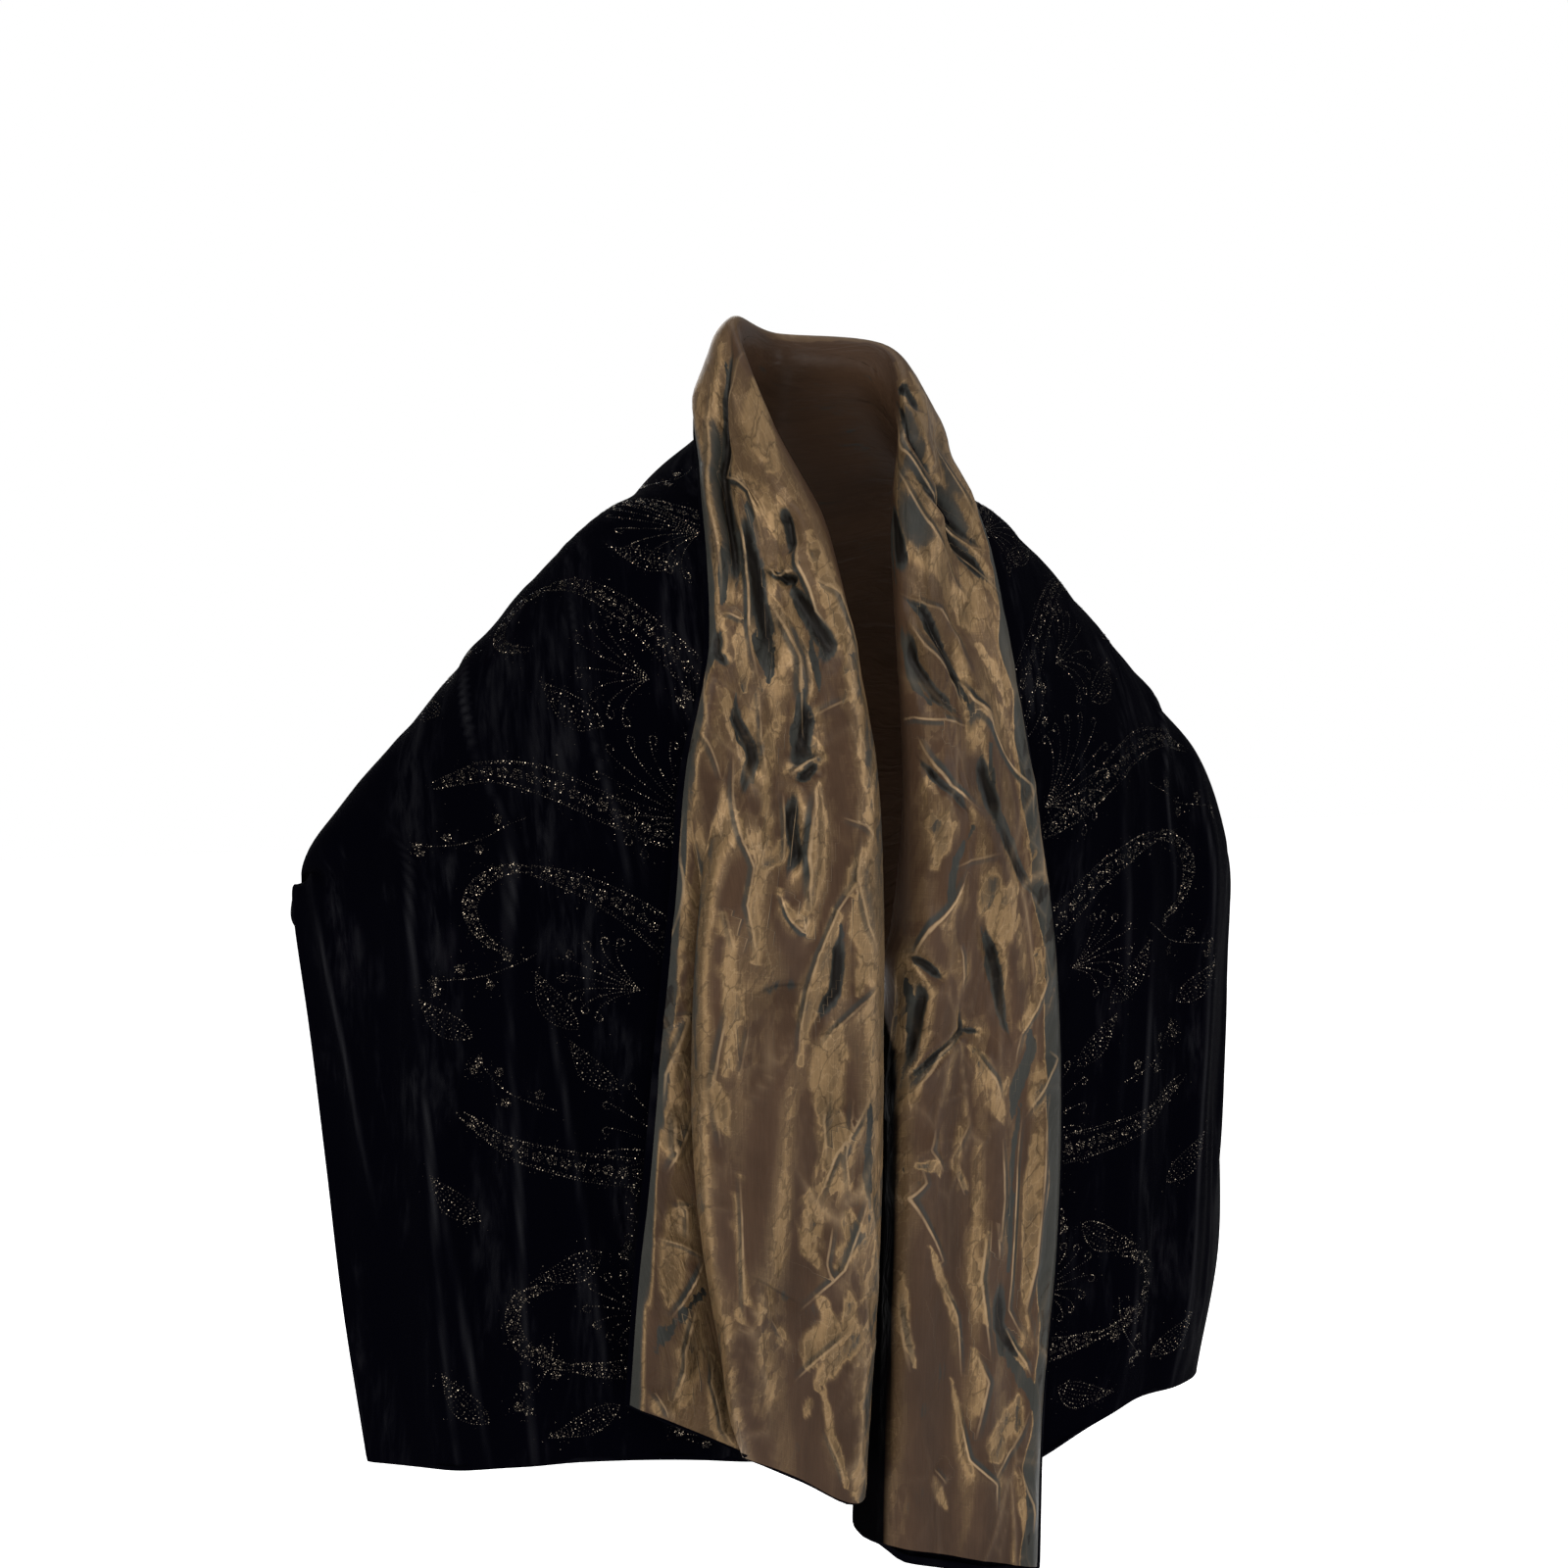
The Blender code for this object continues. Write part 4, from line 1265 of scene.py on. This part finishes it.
def make_glitter(form, points, material):
    """Make the glitter dots as small tilted flakes, joined in one mesh."""
    places, sizes = glitter_places(form.along[-1])
    chance = np.random.default_rng(5)
    places = places + chance.normal(0, DOT_STRAY * MM, places.shape)
    inside = places[:, 1] < -form.down.min() - LOWER_MARGIN
    inside &= (places[:, 0] > HEM_MARGIN) & (places[:, 0] < form.along[-1] - HEM_MARGIN)
    places, sizes = places[inside], sizes[inside]
    centre = on_cloth(form, points, places)
    up = unit(on_cloth(form, normals(points), places))
    lean = unit(up + chance.normal(0, FLAKE_TILT, up.shape))
    first = unit(np.cross(lean, unit(chance.normal(0, 1, up.shape))))
    second = np.cross(lean, first)
    size = DOT * MM * sizes[:, None] * chance.uniform(*FLAKE_SHARES, (len(places), 1))
    centre = centre + up * DOT_RISE * MM
    corners = [centre + way * size for way in (first, second, -first, -second)]
    verts = np.stack(corners, axis=1).reshape(-1, 3)
    quads = np.arange(len(verts)).reshape(-1, 4)
    mesh = bpy.data.meshes.new("glitter_dots")
    mesh.from_pydata(verts.tolist(), [], quads.tolist())
    # Painted glint: a random value per flake that makes some of them bright
    painted_glint = mesh.attributes.new("painted_glint", "FLOAT", "POINT")
    painted_glint.data.foreach_set("value", np.repeat(chance.uniform(0, 1, len(places)), 4))
    mesh.materials.append(material)
    glitter = bpy.data.objects.new("glitter_dots", mesh)
    bpy.context.collection.objects.link(glitter)
    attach(glitter, "root")
    return glitter


class Nodes:
    """A few short ways to place and link shader nodes in one tree."""

    def __init__(self, tree):
        self.tree = tree

    def add(self, kind, **settings):
        """Place a node with its settings."""
        node = self.tree.nodes.new(kind)
        for key, value in settings.items():
            setattr(node, key, value)
        return node

    def link(self, source, target):
        """Link an output to an input."""
        self.tree.links.new(source, target)

    def put(self, socket, value):
        """Link a socket's input to another socket, or set it to a number."""
        if isinstance(value, bpy.types.NodeSocket):
            self.link(value, socket)
        else:
            socket.default_value = value

    def math(self, operation, first, second=0.0, clamp=False):
        """Work on one or two numbers or sockets."""
        node = self.add("ShaderNodeMath", operation=operation, use_clamp=clamp)
        self.put(node.inputs[0], first)
        self.put(node.inputs[1], second)
        return node.outputs[0]

    def band(self, value, low, high, start=0.0, end=1.0):
        """Turn a range of a value smoothly into another range."""
        node = self.add("ShaderNodeMapRange", interpolation_type="SMOOTHSTEP")
        self.put(node.inputs["Value"], value)
        for key, number in zip(("From Min", "From Max", "To Min", "To Max"), (low, high, start, end)):
            self.put(node.inputs[key], number)
        return node.outputs[0]

    def mix(self, share, first, second):
        """Mix two colours, from the first at 0 to the second at 1."""
        node = self.add("ShaderNodeMix", data_type="RGBA")
        self.put(node.inputs["Factor"], share)
        for socket, value in ((node.inputs["A"], first), (node.inputs["B"], second)):
            self.put(socket, value if isinstance(value, bpy.types.NodeSocket) else (*value, 1))
        return node.outputs["Result"]

    def field(self, name):
        """Read an attribute of the mesh."""
        return self.add("ShaderNodeAttribute", attribute_name=name)

    def noise(self, place, factors, detail=3.0, roughness=0.5, distortion=0.0):
        """Read noise at a place that is first multiplied by a factor each way."""
        node = self.add("ShaderNodeTexNoise")
        self.put(node.inputs["Vector"], self.stretched(place, factors))
        node.inputs["Scale"].default_value = 1.0
        node.inputs["Detail"].default_value = detail
        node.inputs["Roughness"].default_value = roughness
        node.inputs["Distortion"].default_value = distortion
        return node.outputs[0]

    def stretched(self, place, factors):
        """Multiply a place by a factor each way."""
        node = self.add("ShaderNodeVectorMath", operation="MULTIPLY")
        self.put(node.inputs[0], place)
        node.inputs[1].default_value = factors
        return node.outputs[0]


def new_group(name, inputs, outputs):
    """Start a node group with named sockets. Give its nodes, its input node and its output node."""
    tree = bpy.data.node_groups.new(name, "ShaderNodeTree")
    for socket, kind, value in inputs:
        made = tree.interface.new_socket(socket, in_out="INPUT", socket_type=kind)
        if value is not None:
            made.default_value = value
    for socket, kind in outputs:
        tree.interface.new_socket(socket, in_out="OUTPUT", socket_type=kind)
    nodes = Nodes(tree)
    return nodes, nodes.add("NodeGroupInput"), nodes.add("NodeGroupOutput")


def place_group(nodes, tree, **values):
    """Place a node group in a material with its own values."""
    node = nodes.add("ShaderNodeGroup")
    node.node_tree = tree
    for key, value in values.items():
        nodes.put(node.inputs[key.replace("_", " ")], value)
    return node


def weave_group():
    """Threads along and across the cloth: a height, and a mask of uneven threads."""
    nodes, given, made = new_group(
        "weave",
        [("Place", "NodeSocketVector", None), ("Threads", "NodeSocketFloat", 900.0)],
        [("Height", "NodeSocketFloat"), ("Slub", "NodeSocketFloat")],
    )
    scaled = nodes.add("ShaderNodeVectorMath", operation="SCALE")
    nodes.link(given.outputs["Place"], scaled.inputs[0])
    nodes.link(given.outputs["Threads"], scaled.inputs["Scale"])
    place = scaled.outputs[0]
    lengthwise = nodes.noise(place, (0.04, 1.0, 1.0), 2.0)
    crosswise = nodes.noise(place, (1.0, 0.04, 1.0), 2.0)
    nodes.put(made.inputs["Height"], nodes.math("ADD", lengthwise, crosswise))
    slub = nodes.math("MULTIPLY", nodes.math("SUBTRACT", lengthwise, 0.5), 1.4)
    slub = nodes.math("ADD", slub, nodes.math("SUBTRACT", crosswise, 0.5))
    nodes.put(made.inputs["Slub"], slub)
    return nodes.tree


def facets_group():
    """Painted light and shade of small flat facets of crumpled cloth, drawn out along it: each one's
    lean, and its rim.
    """
    nodes, given, made = new_group(
        "facets",
        [("Place", "NodeSocketVector", None), ("Count", "NodeSocketFloat", 80.0)],
        [("Lean", "NodeSocketFloat"), ("Rim", "NodeSocketFloat")],
    )
    scaled = nodes.add("ShaderNodeVectorMath", operation="SCALE")
    nodes.link(given.outputs["Place"], scaled.inputs[0])
    nodes.link(given.outputs["Count"], scaled.inputs["Scale"])
    turned = nodes.add("ShaderNodeVectorRotate", rotation_type="Z_AXIS")
    turned.inputs["Angle"].default_value = 0.38
    nodes.link(scaled.outputs[0], turned.inputs["Vector"])
    drawn = nodes.stretched(turned.outputs[0], (0.45, 1.0, 1.0))
    wander = nodes.add("ShaderNodeTexNoise")
    wander.inputs["Scale"].default_value = 1.3
    wander.inputs["Detail"].default_value = 3.0
    nodes.link(drawn, wander.inputs["Vector"])
    moved = nodes.add("ShaderNodeVectorMath", operation="ADD")
    nodes.link(drawn, moved.inputs[0])
    nodes.link(nodes.stretched(wander.outputs["Color"], (1.5, 1.5, 0.0)), moved.inputs[1])
    cells = {}
    for feature in ("SMOOTH_F1", "DISTANCE_TO_EDGE"):
        cells[feature] = nodes.add("ShaderNodeTexVoronoi", voronoi_dimensions="2D", feature=feature)
        nodes.link(moved.outputs[0], cells[feature].inputs["Vector"])
        cells[feature].inputs["Scale"].default_value = 1.0
    cells["SMOOTH_F1"].inputs["Smoothness"].default_value = 0.22
    split = nodes.add("ShaderNodeSeparateColor")
    nodes.link(cells["SMOOTH_F1"].outputs["Color"], split.inputs[0])
    nodes.put(made.inputs["Lean"], nodes.math("SUBTRACT", split.outputs[0], 0.5))
    nodes.put(made.inputs["Rim"], nodes.band(cells["DISTANCE_TO_EDGE"].outputs["Distance"], 0.07, 0.0))
    return nodes.tree


def rumple_group():
    """Small creases finer than the mesh, drawn out along the cloth: a height, and its slope across,
    which paints highlight and shade.
    """
    nodes, given, made = new_group(
        "rumple",
        [("Place", "NodeSocketVector", None), ("Scale", "NodeSocketFloat", 60.0)],
        [("Height", "NodeSocketFloat"), ("Slope", "NodeSocketFloat")],
    )
    heights = []
    for shift in (0.0, 0.0012):
        moved = nodes.add("ShaderNodeVectorMath", operation="ADD")
        nodes.link(given.outputs["Place"], moved.inputs[0])
        moved.inputs[1].default_value = (0.0, shift, 0.0)
        scaled = nodes.add("ShaderNodeVectorMath", operation="SCALE")
        nodes.link(moved.outputs[0], scaled.inputs[0])
        nodes.link(given.outputs["Scale"], scaled.inputs["Scale"])
        value = nodes.noise(scaled.outputs[0], (0.32, 1.0, 1.0), 3.0, 0.55, 0.6)
        ridge = nodes.math("ABSOLUTE", nodes.math("SUBTRACT", value, 0.5))
        heights.append(nodes.math("SUBTRACT", 1.0, nodes.math("MULTIPLY", ridge, 3.0)))
    nodes.put(made.inputs["Height"], heights[0])
    nodes.put(made.inputs["Slope"], nodes.math("SUBTRACT", heights[1], heights[0]))
    return nodes.tree


def nap_group():
    """The velvet's pile, brushed here and there another way: a mask and a height."""
    nodes, given, made = new_group(
        "nap",
        [("Place", "NodeSocketVector", None)],
        [("Brushed", "NodeSocketFloat"), ("Height", "NodeSocketFloat")],
    )
    place = given.outputs["Place"]
    wide = nodes.noise(place, (7.0, 26.0, 1.0), 4.0, 0.6, 0.5)
    streak = nodes.noise(place, (30.0, 160.0, 1.0), 3.0, 0.6, 0.3)
    pile = nodes.noise(place, (1600.0, 1600.0, 1.0), 1.0)
    brushed = nodes.math("MULTIPLY", nodes.band(wide, 0.48, 0.72), nodes.band(streak, 0.35, 0.7))
    nodes.put(made.inputs["Brushed"], brushed)
    height = nodes.math("ADD", pile, nodes.math("MULTIPLY", streak, 0.6))
    nodes.put(made.inputs["Height"], height)
    return nodes.tree


def new_material(name):
    """Start a material. Give it, its nodes and its main shader."""
    material = bpy.data.materials.new(name)
    material.use_nodes = True
    nodes = Nodes(material.node_tree)
    return material, nodes, material.node_tree.nodes["Principled BSDF"]


def bumped(nodes, shader, height, distance, strength):
    """Feed a height to the shader's normal."""
    node = nodes.add("ShaderNodeBump")
    node.inputs["Strength"].default_value = strength
    node.inputs["Distance"].default_value = distance
    nodes.link(height, node.inputs["Height"])
    nodes.link(node.outputs[0], shader.inputs["Normal"])


# The taffeta's colour by how far it leans: brown flat, bronze, a painted gold highlight, and
# painted slate shade where it turns away
TAFFETA_LIGHT_AND_SHADE_TONES = [
    (0.00, (0.0370, 0.0205, 0.0120)),
    (0.10, (0.0430, 0.0240, 0.0138)),
    (0.22, (0.0730, 0.0445, 0.0232)),
    (0.35, (0.1800, 0.1150, 0.0570)),
    (0.45, (0.1150, 0.0740, 0.0380)),
    (0.58, (0.0360, 0.0300, 0.0230)),
    (0.72, (0.0245, 0.0245, 0.0210)),
    (0.88, (0.0235, 0.0235, 0.0205)),
    (1.00, (0.0100, 0.0085, 0.0070)),
]
# Slate of the painted shade where the taffeta turns away
TAFFETA_SLATE_SHADE = (0.0240, 0.0240, 0.0208)
# Gold of the painted highlight along crests and facet rims
TAFFETA_CREST_HIGHLIGHT = (0.27, 0.185, 0.105)
# Near black of the painted shade deep in troughs
TAFFETA_TROUGH_SHADE = (0.0050, 0.0038, 0.0030)
# Near black of the painted shadow in the deep gap between the lapels
GAP_SHADOW_BLACK = (0.0012, 0.0011, 0.0014)
VELVET_FLAT = (0.0003, 0.0003, 0.0012)
# Grey of the brushed pile, and of the painted sheen along fold crests
VELVET_BRUSHED_AND_SHEEN = (0.011, 0.011, 0.013)
GLITTER_DIM = (0.035, 0.030, 0.026)
# Colour of the painted glint on the bright flakes
GLITTER_GLINT = (0.42, 0.35, 0.26)
FLOOR_COLOUR = (0.92, 0.92, 0.92)


def crest_highlight_and_shade_masks(nodes):
    """Give the painted highlight along each crest and the small net, and the painted shade on the band
    beside each crest where its steep side turns away.
    """
    line = nodes.field("crest").outputs["Fac"]
    power = nodes.field("crest_power").outputs["Fac"]
    bright = nodes.band(nodes.math("ABSOLUTE", line), 1.1, 0.2)
    bright = nodes.math("MULTIPLY", bright, power)
    net = nodes.field("net").outputs["Fac"]
    place = nodes.field("cloth").outputs["Vector"]
    broken = nodes.noise(place, (60.0, 60.0, 1.0), 2.0)
    broken = nodes.band(broken, 0.30, 0.62, 0.25, 0.85)
    bright = nodes.math("MULTIPLY", bright, broken)
    bright = nodes.math("MAXIMUM", bright, nodes.math("MULTIPLY", net, 0.7), clamp=True)
    steep = nodes.math("MULTIPLY", nodes.band(line, 0.6, 1.4), nodes.band(line, 4.5, 2.5))
    return bright, nodes.math("MULTIPLY", steep, power)


def taffeta_material(weave, rumple, facets):
    """Shot taffeta: dull brown lying flat, a painted gold highlight where it leans across, painted
    slate shade where it turns away, painted highlights on crests, and painted shade in troughs and the
    gap between the lapels.
    """
    material, nodes, shader = new_material("shot_taffeta")
    place = nodes.field("cloth").outputs["Vector"]
    small = place_group(nodes, rumple, Place=place, Scale=70.0)
    threads = place_group(nodes, weave, Place=place, Threads=1400.0)
    large = place_group(nodes, facets, Place=place, Count=70.0)
    fine = place_group(nodes, facets, Place=place, Count=190.0)
    lean = nodes.field("lean").outputs["Fac"]
    # The facets' leans and the small creases' slope only paint colour: painted highlight and shade
    facet = nodes.math("ADD", large.outputs["Lean"], nodes.math("MULTIPLY", fine.outputs["Lean"], 0.7))
    facet = nodes.math("ADD", facet, nodes.math("MULTIPLY", small.outputs["Slope"], 0.8))
    amount = nodes.math("ADD", nodes.math("MULTIPLY", nodes.math("MINIMUM", lean, 0.6), 0.55), 0.05)
    amount = nodes.math("MULTIPLY", amount, nodes.field("crumpled").outputs["Fac"])
    leaning = nodes.math("ADD", lean, nodes.math("MULTIPLY", facet, amount))
    leaning = nodes.math("ADD", leaning, nodes.math("MULTIPLY", threads.outputs["Slub"], 0.07))
    # The ramp paints colour by lean: a painted gold highlight, and painted slate shade where it turns
    # away
    ramp = nodes.add("ShaderNodeValToRGB")
    ramp.color_ramp.interpolation = "EASE"
    points = ramp.color_ramp.elements
    for number, (stop, tone) in enumerate(TAFFETA_LIGHT_AND_SHADE_TONES):
        point = points[number] if number < len(points) else points.new(stop)
        point.position = stop
        point.color = (*tone, 1)
    nodes.link(leaning, ramp.inputs["Fac"])
    gold = nodes.math("MULTIPLY", nodes.band(leaning, 0.14, 0.34), nodes.band(leaning, 0.58, 0.44))
    # Painted highlight along crests and on facet rims, and painted shade on a crest's steep side
    crest, steep = crest_highlight_and_shade_masks(nodes)
    rim_highlight_and_shade = nodes.math("MULTIPLY", fine.outputs["Rim"], nodes.math("MULTIPLY", gold, 0.35))
    painted_lean_colour = nodes.mix(rim_highlight_and_shade, ramp.outputs["Color"], TAFFETA_CREST_HIGHLIGHT)
    deep = nodes.math("ADD", nodes.field("shade").outputs["Fac"], nodes.math("MULTIPLY", facet, 0.22))
    slate = nodes.math("ADD", nodes.field("slate").outputs["Fac"], nodes.math("MULTIPLY", facet, 0.45))
    slate = nodes.band(slate, 0.30, 0.48)
    slate_shade = nodes.math("MAXIMUM", slate, steep)
    slate_shade = nodes.math("MAXIMUM", nodes.band(deep, 0.28, 0.50), slate_shade)
    # Painted shade along each trough's line, deep in the troughs and on facet rims
    trough = nodes.band(nodes.math("ABSOLUTE", nodes.field("trough").outputs["Fac"]), 1.6, 0.4)
    trough = nodes.math("MULTIPLY", trough, nodes.field("trough_power").outputs["Fac"])
    trough_shade = nodes.band(deep, 0.44, 0.82, 0.0, 0.93)
    trough_shade = nodes.math("MAXIMUM", trough_shade, nodes.math("MULTIPLY", trough, 0.9))
    rim_highlight_and_shade = nodes.math("MULTIPLY", large.outputs["Rim"], nodes.math("MULTIPLY", gold, 0.45))
    trough_shade = nodes.math("MAXIMUM", trough_shade, rim_highlight_and_shade)
    # Painted slate shade where the taffeta turns away
    colour = nodes.mix(slate_shade, painted_lean_colour, TAFFETA_SLATE_SHADE)
    # Painted shade in the troughs
    colour = nodes.mix(trough_shade, colour, TAFFETA_TROUGH_SHADE)
    # Painted highlight along crests
    colour = nodes.mix(crest, colour, TAFFETA_CREST_HIGHLIGHT)
    # Painted shadow: the deep gap between the lapels is painted near black
    colour = nodes.mix(nodes.field("gap").outputs["Fac"], colour, GAP_SHADOW_BLACK)
    worn = nodes.noise(place, (9.0, 22.0, 1.0), 4.0, 0.6, 0.5)
    streak = nodes.noise(place, (30.0, 900.0, 1.0), 3.0, 0.6)
    streak = nodes.band(streak, 0.3, 0.7, -0.06, 0.06)
    tone = nodes.math("ADD", nodes.band(worn, 0.30, 0.70, 0.80, 1.15), streak)
    tinted = nodes.add("ShaderNodeVectorMath", operation="SCALE")
    nodes.link(colour, tinted.inputs[0])
    nodes.link(tone, tinted.inputs["Scale"])
    nodes.link(tinted.outputs[0], shader.inputs["Base Color"])
    nodes.put(shader.inputs["Metallic"], nodes.math("MULTIPLY", gold, 0.5))
    rough = nodes.math("ADD", nodes.math("MULTIPLY", threads.outputs["Slub"], 0.10), 0.42, clamp=True)
    nodes.put(shader.inputs["Roughness"], rough)
    grain = nodes.math("MULTIPLY", threads.outputs["Height"], 0.05)
    bumped(nodes, shader, nodes.math("ADD", small.outputs["Height"], grain), 0.0012, 0.5)
    # No gloss in the painted shadow of the gap, so that it stays black
    gloss_outside_gap_shadow = nodes.band(nodes.field("gap").outputs["Fac"], 0.0, 1.0, 0.08, 0.0)
    nodes.link(gloss_outside_gap_shadow, shader.inputs["Specular IOR Level"])
    return material


def velvet_material(nap):
    """Black velvet: next to no colour lying flat, a grey haze where its pile is brushed, and a painted
    sheen along the crests of its folds.
    """
    material, nodes, shader = new_material("black_velvet")
    place = nodes.field("cloth").outputs["Vector"]
    pile = place_group(nodes, nap, Place=place)
    broken = nodes.noise(place, (9.0, 26.0, 1.0), 3.0)
    broken = nodes.band(broken, 0.36, 0.66, 0.1, 0.8)
    # Painted sheen along fold crests, broken here and there
    crest = nodes.math("MULTIPLY", nodes.field("crest").outputs["Fac"], broken)
    brushed = nodes.math("MULTIPLY", pile.outputs["Brushed"], 0.5)
    haze = nodes.math("MAXIMUM", brushed, crest, clamp=True)
    colour = nodes.mix(haze, VELVET_FLAT, VELVET_BRUSHED_AND_SHEEN)
    nodes.link(colour, shader.inputs["Base Color"])
    nodes.put(shader.inputs["Roughness"], nodes.band(haze, 0.0, 1.0, 0.95, 0.75))
    bumped(nodes, shader, pile.outputs["Height"], 0.0006, 0.35)
    shader.inputs["Sheen Weight"].default_value = 0.002
    shader.inputs["Sheen Roughness"].default_value = 0.35
    shader.inputs["Sheen Tint"].default_value = (0.75, 0.78, 0.86, 1)
    shader.inputs["Specular IOR Level"].default_value = 0.01
    return material


def glitter_material():
    """Champagne glitter: each flake bright or dim by itself, the bright ones a painted glint."""
    material, nodes, shader = new_material("champagne_glitter")
    painted_glint = nodes.field("painted_glint").outputs["Fac"]
    colour = nodes.mix(nodes.band(painted_glint, 0.55, 1.0), GLITTER_DIM, GLITTER_GLINT)
    nodes.link(colour, shader.inputs["Base Color"])
    shader.inputs["Metallic"].default_value = 1.0
    nodes.put(shader.inputs["Roughness"], nodes.band(painted_glint, 0.0, 1.0, 0.5, 0.22))
    return material


def plain_material(name, colour, roughness):
    """A plain matt finish, for the floor alone."""
    material, _, shader = new_material(name)
    shader.inputs["Base Color"].default_value = (*colour, 1)
    shader.inputs["Roughness"].default_value = roughness
    shader.inputs["Specular IOR Level"].default_value = 0.1
    return material


# The photograph's camera, level with the neck: its distance from it, its bearing to the stole's
# right front, where it aims, and its angle of view over the whole frame
CAMERA_DISTANCE = 2.8
CAMERA_BEARING = 22.0
CAMERA_AIM = (-0.017, 0.007, -0.197)
FRAME_ANGLE = 21.3
FLOOR_HALF = 6
FLOOR_DROP = 0.05
FLOOR_GLOW = 0.90
# Soft lights: name, place, size across and up, power in watts, and colour
LIGHTS = [
    ("key", (-2.4, -1.7, 1.5), 1.6, 1.8, 56, (1.0, 0.98, 0.95)),
    ("fill", (2.4, -1.6, 0.8), 1.4, 1.8, 36, (0.97, 0.98, 1.0)),
    ("front", (-0.9, -2.2, 1.7), 1.6, 0.8, 24, (1.0, 1.0, 1.0)),
    ("top", (0.2, 0.4, 2.4), 2.0, 2.0, 26, (1.0, 1.0, 1.0)),
    ("back", (0.4, 2.8, 1.0), 2.0, 1.4, 26, (1.0, 1.0, 1.0)),
]
WORLD_GREY = 0.30
WORLD_SEEN = 1.0


def aim(thing, place, target):
    """Put a light or camera at a place, facing a target."""
    thing.location = place
    thing.rotation_euler = (Vector(target) - Vector(place)).to_track_quat("-Z", "Y").to_euler()
    bpy.context.collection.objects.link(thing)


def make_stage():
    """Make the pale floor, the soft lights and the camera."""
    floor = bpy.data.meshes.new("floor")
    low = CAD_BOX[0].z - FLOOR_DROP
    corners = [(x * FLOOR_HALF, y * FLOOR_HALF, low) for x, y in ((-1, -1), (1, -1), (1, 1), (-1, 1))]
    floor.from_pydata(corners, [], [(0, 1, 2, 3)])
    finish = plain_material("pale_floor", FLOOR_COLOUR, 0.8)
    glow = finish.node_tree.nodes["Principled BSDF"].inputs
    glow["Emission Color"].default_value = (1, 1, 1, 1)
    glow["Emission Strength"].default_value = FLOOR_GLOW
    floor.materials.append(finish)
    floor_piece = bpy.data.objects.new("floor", floor)
    bpy.context.collection.objects.link(floor_piece)
    centre = (CAD_BOX[0] + CAD_BOX[1]) / 2
    for name, place, wide, high, power, colour in LIGHTS:
        light = bpy.data.lights.new(name, "AREA")
        light.shape = "RECTANGLE"
        light.size, light.size_y = wide, high
        light.energy = power
        light.color = colour
        aim(bpy.data.objects.new(name, light), place, centre)
    world = bpy.data.worlds.new("studio")
    world.use_nodes = True
    nodes = Nodes(world.node_tree)
    background = world.node_tree.nodes["Background"]
    seen = nodes.add("ShaderNodeLightPath").outputs["Is Camera Ray"]
    nodes.put(background.inputs["Strength"], nodes.band(seen, 0.0, 1.0, WORLD_GREY, WORLD_SEEN))
    background.inputs["Color"].default_value = (1, 1, 1, 1)
    bpy.context.scene.world = world
    bpy.context.scene.view_settings.view_transform = "Standard"
    camera = bpy.data.cameras.new("photo_camera")
    camera.sensor_fit = "HORIZONTAL"
    camera.angle = math.radians(FRAME_ANGLE)
    camera.clip_start = 0.1
    camera.clip_end = 50
    bearing = math.radians(CAMERA_BEARING)
    place = (-CAMERA_DISTANCE * math.sin(bearing), -CAMERA_DISTANCE * math.cos(bearing), 0.0)
    camera_piece = bpy.data.objects.new("photo_camera", camera)
    aim(camera_piece, place, CAMERA_AIM)
    bpy.context.scene.camera = camera_piece


def dress():
    """Make every piece of the stole."""
    weave, rumple, facets, nap = weave_group(), rumple_group(), facets_group(), nap_group()
    taffeta = taffeta_material(weave, rumple, facets)
    velvet_finish = velvet_material(nap)
    lining = make_lining(taffeta)
    velvet, form, points = make_velvet(velvet_finish)
    seam = make_seam(form, velvet_finish)
    glitter = make_glitter(form, points, glitter_material())


make_stage()
dress()
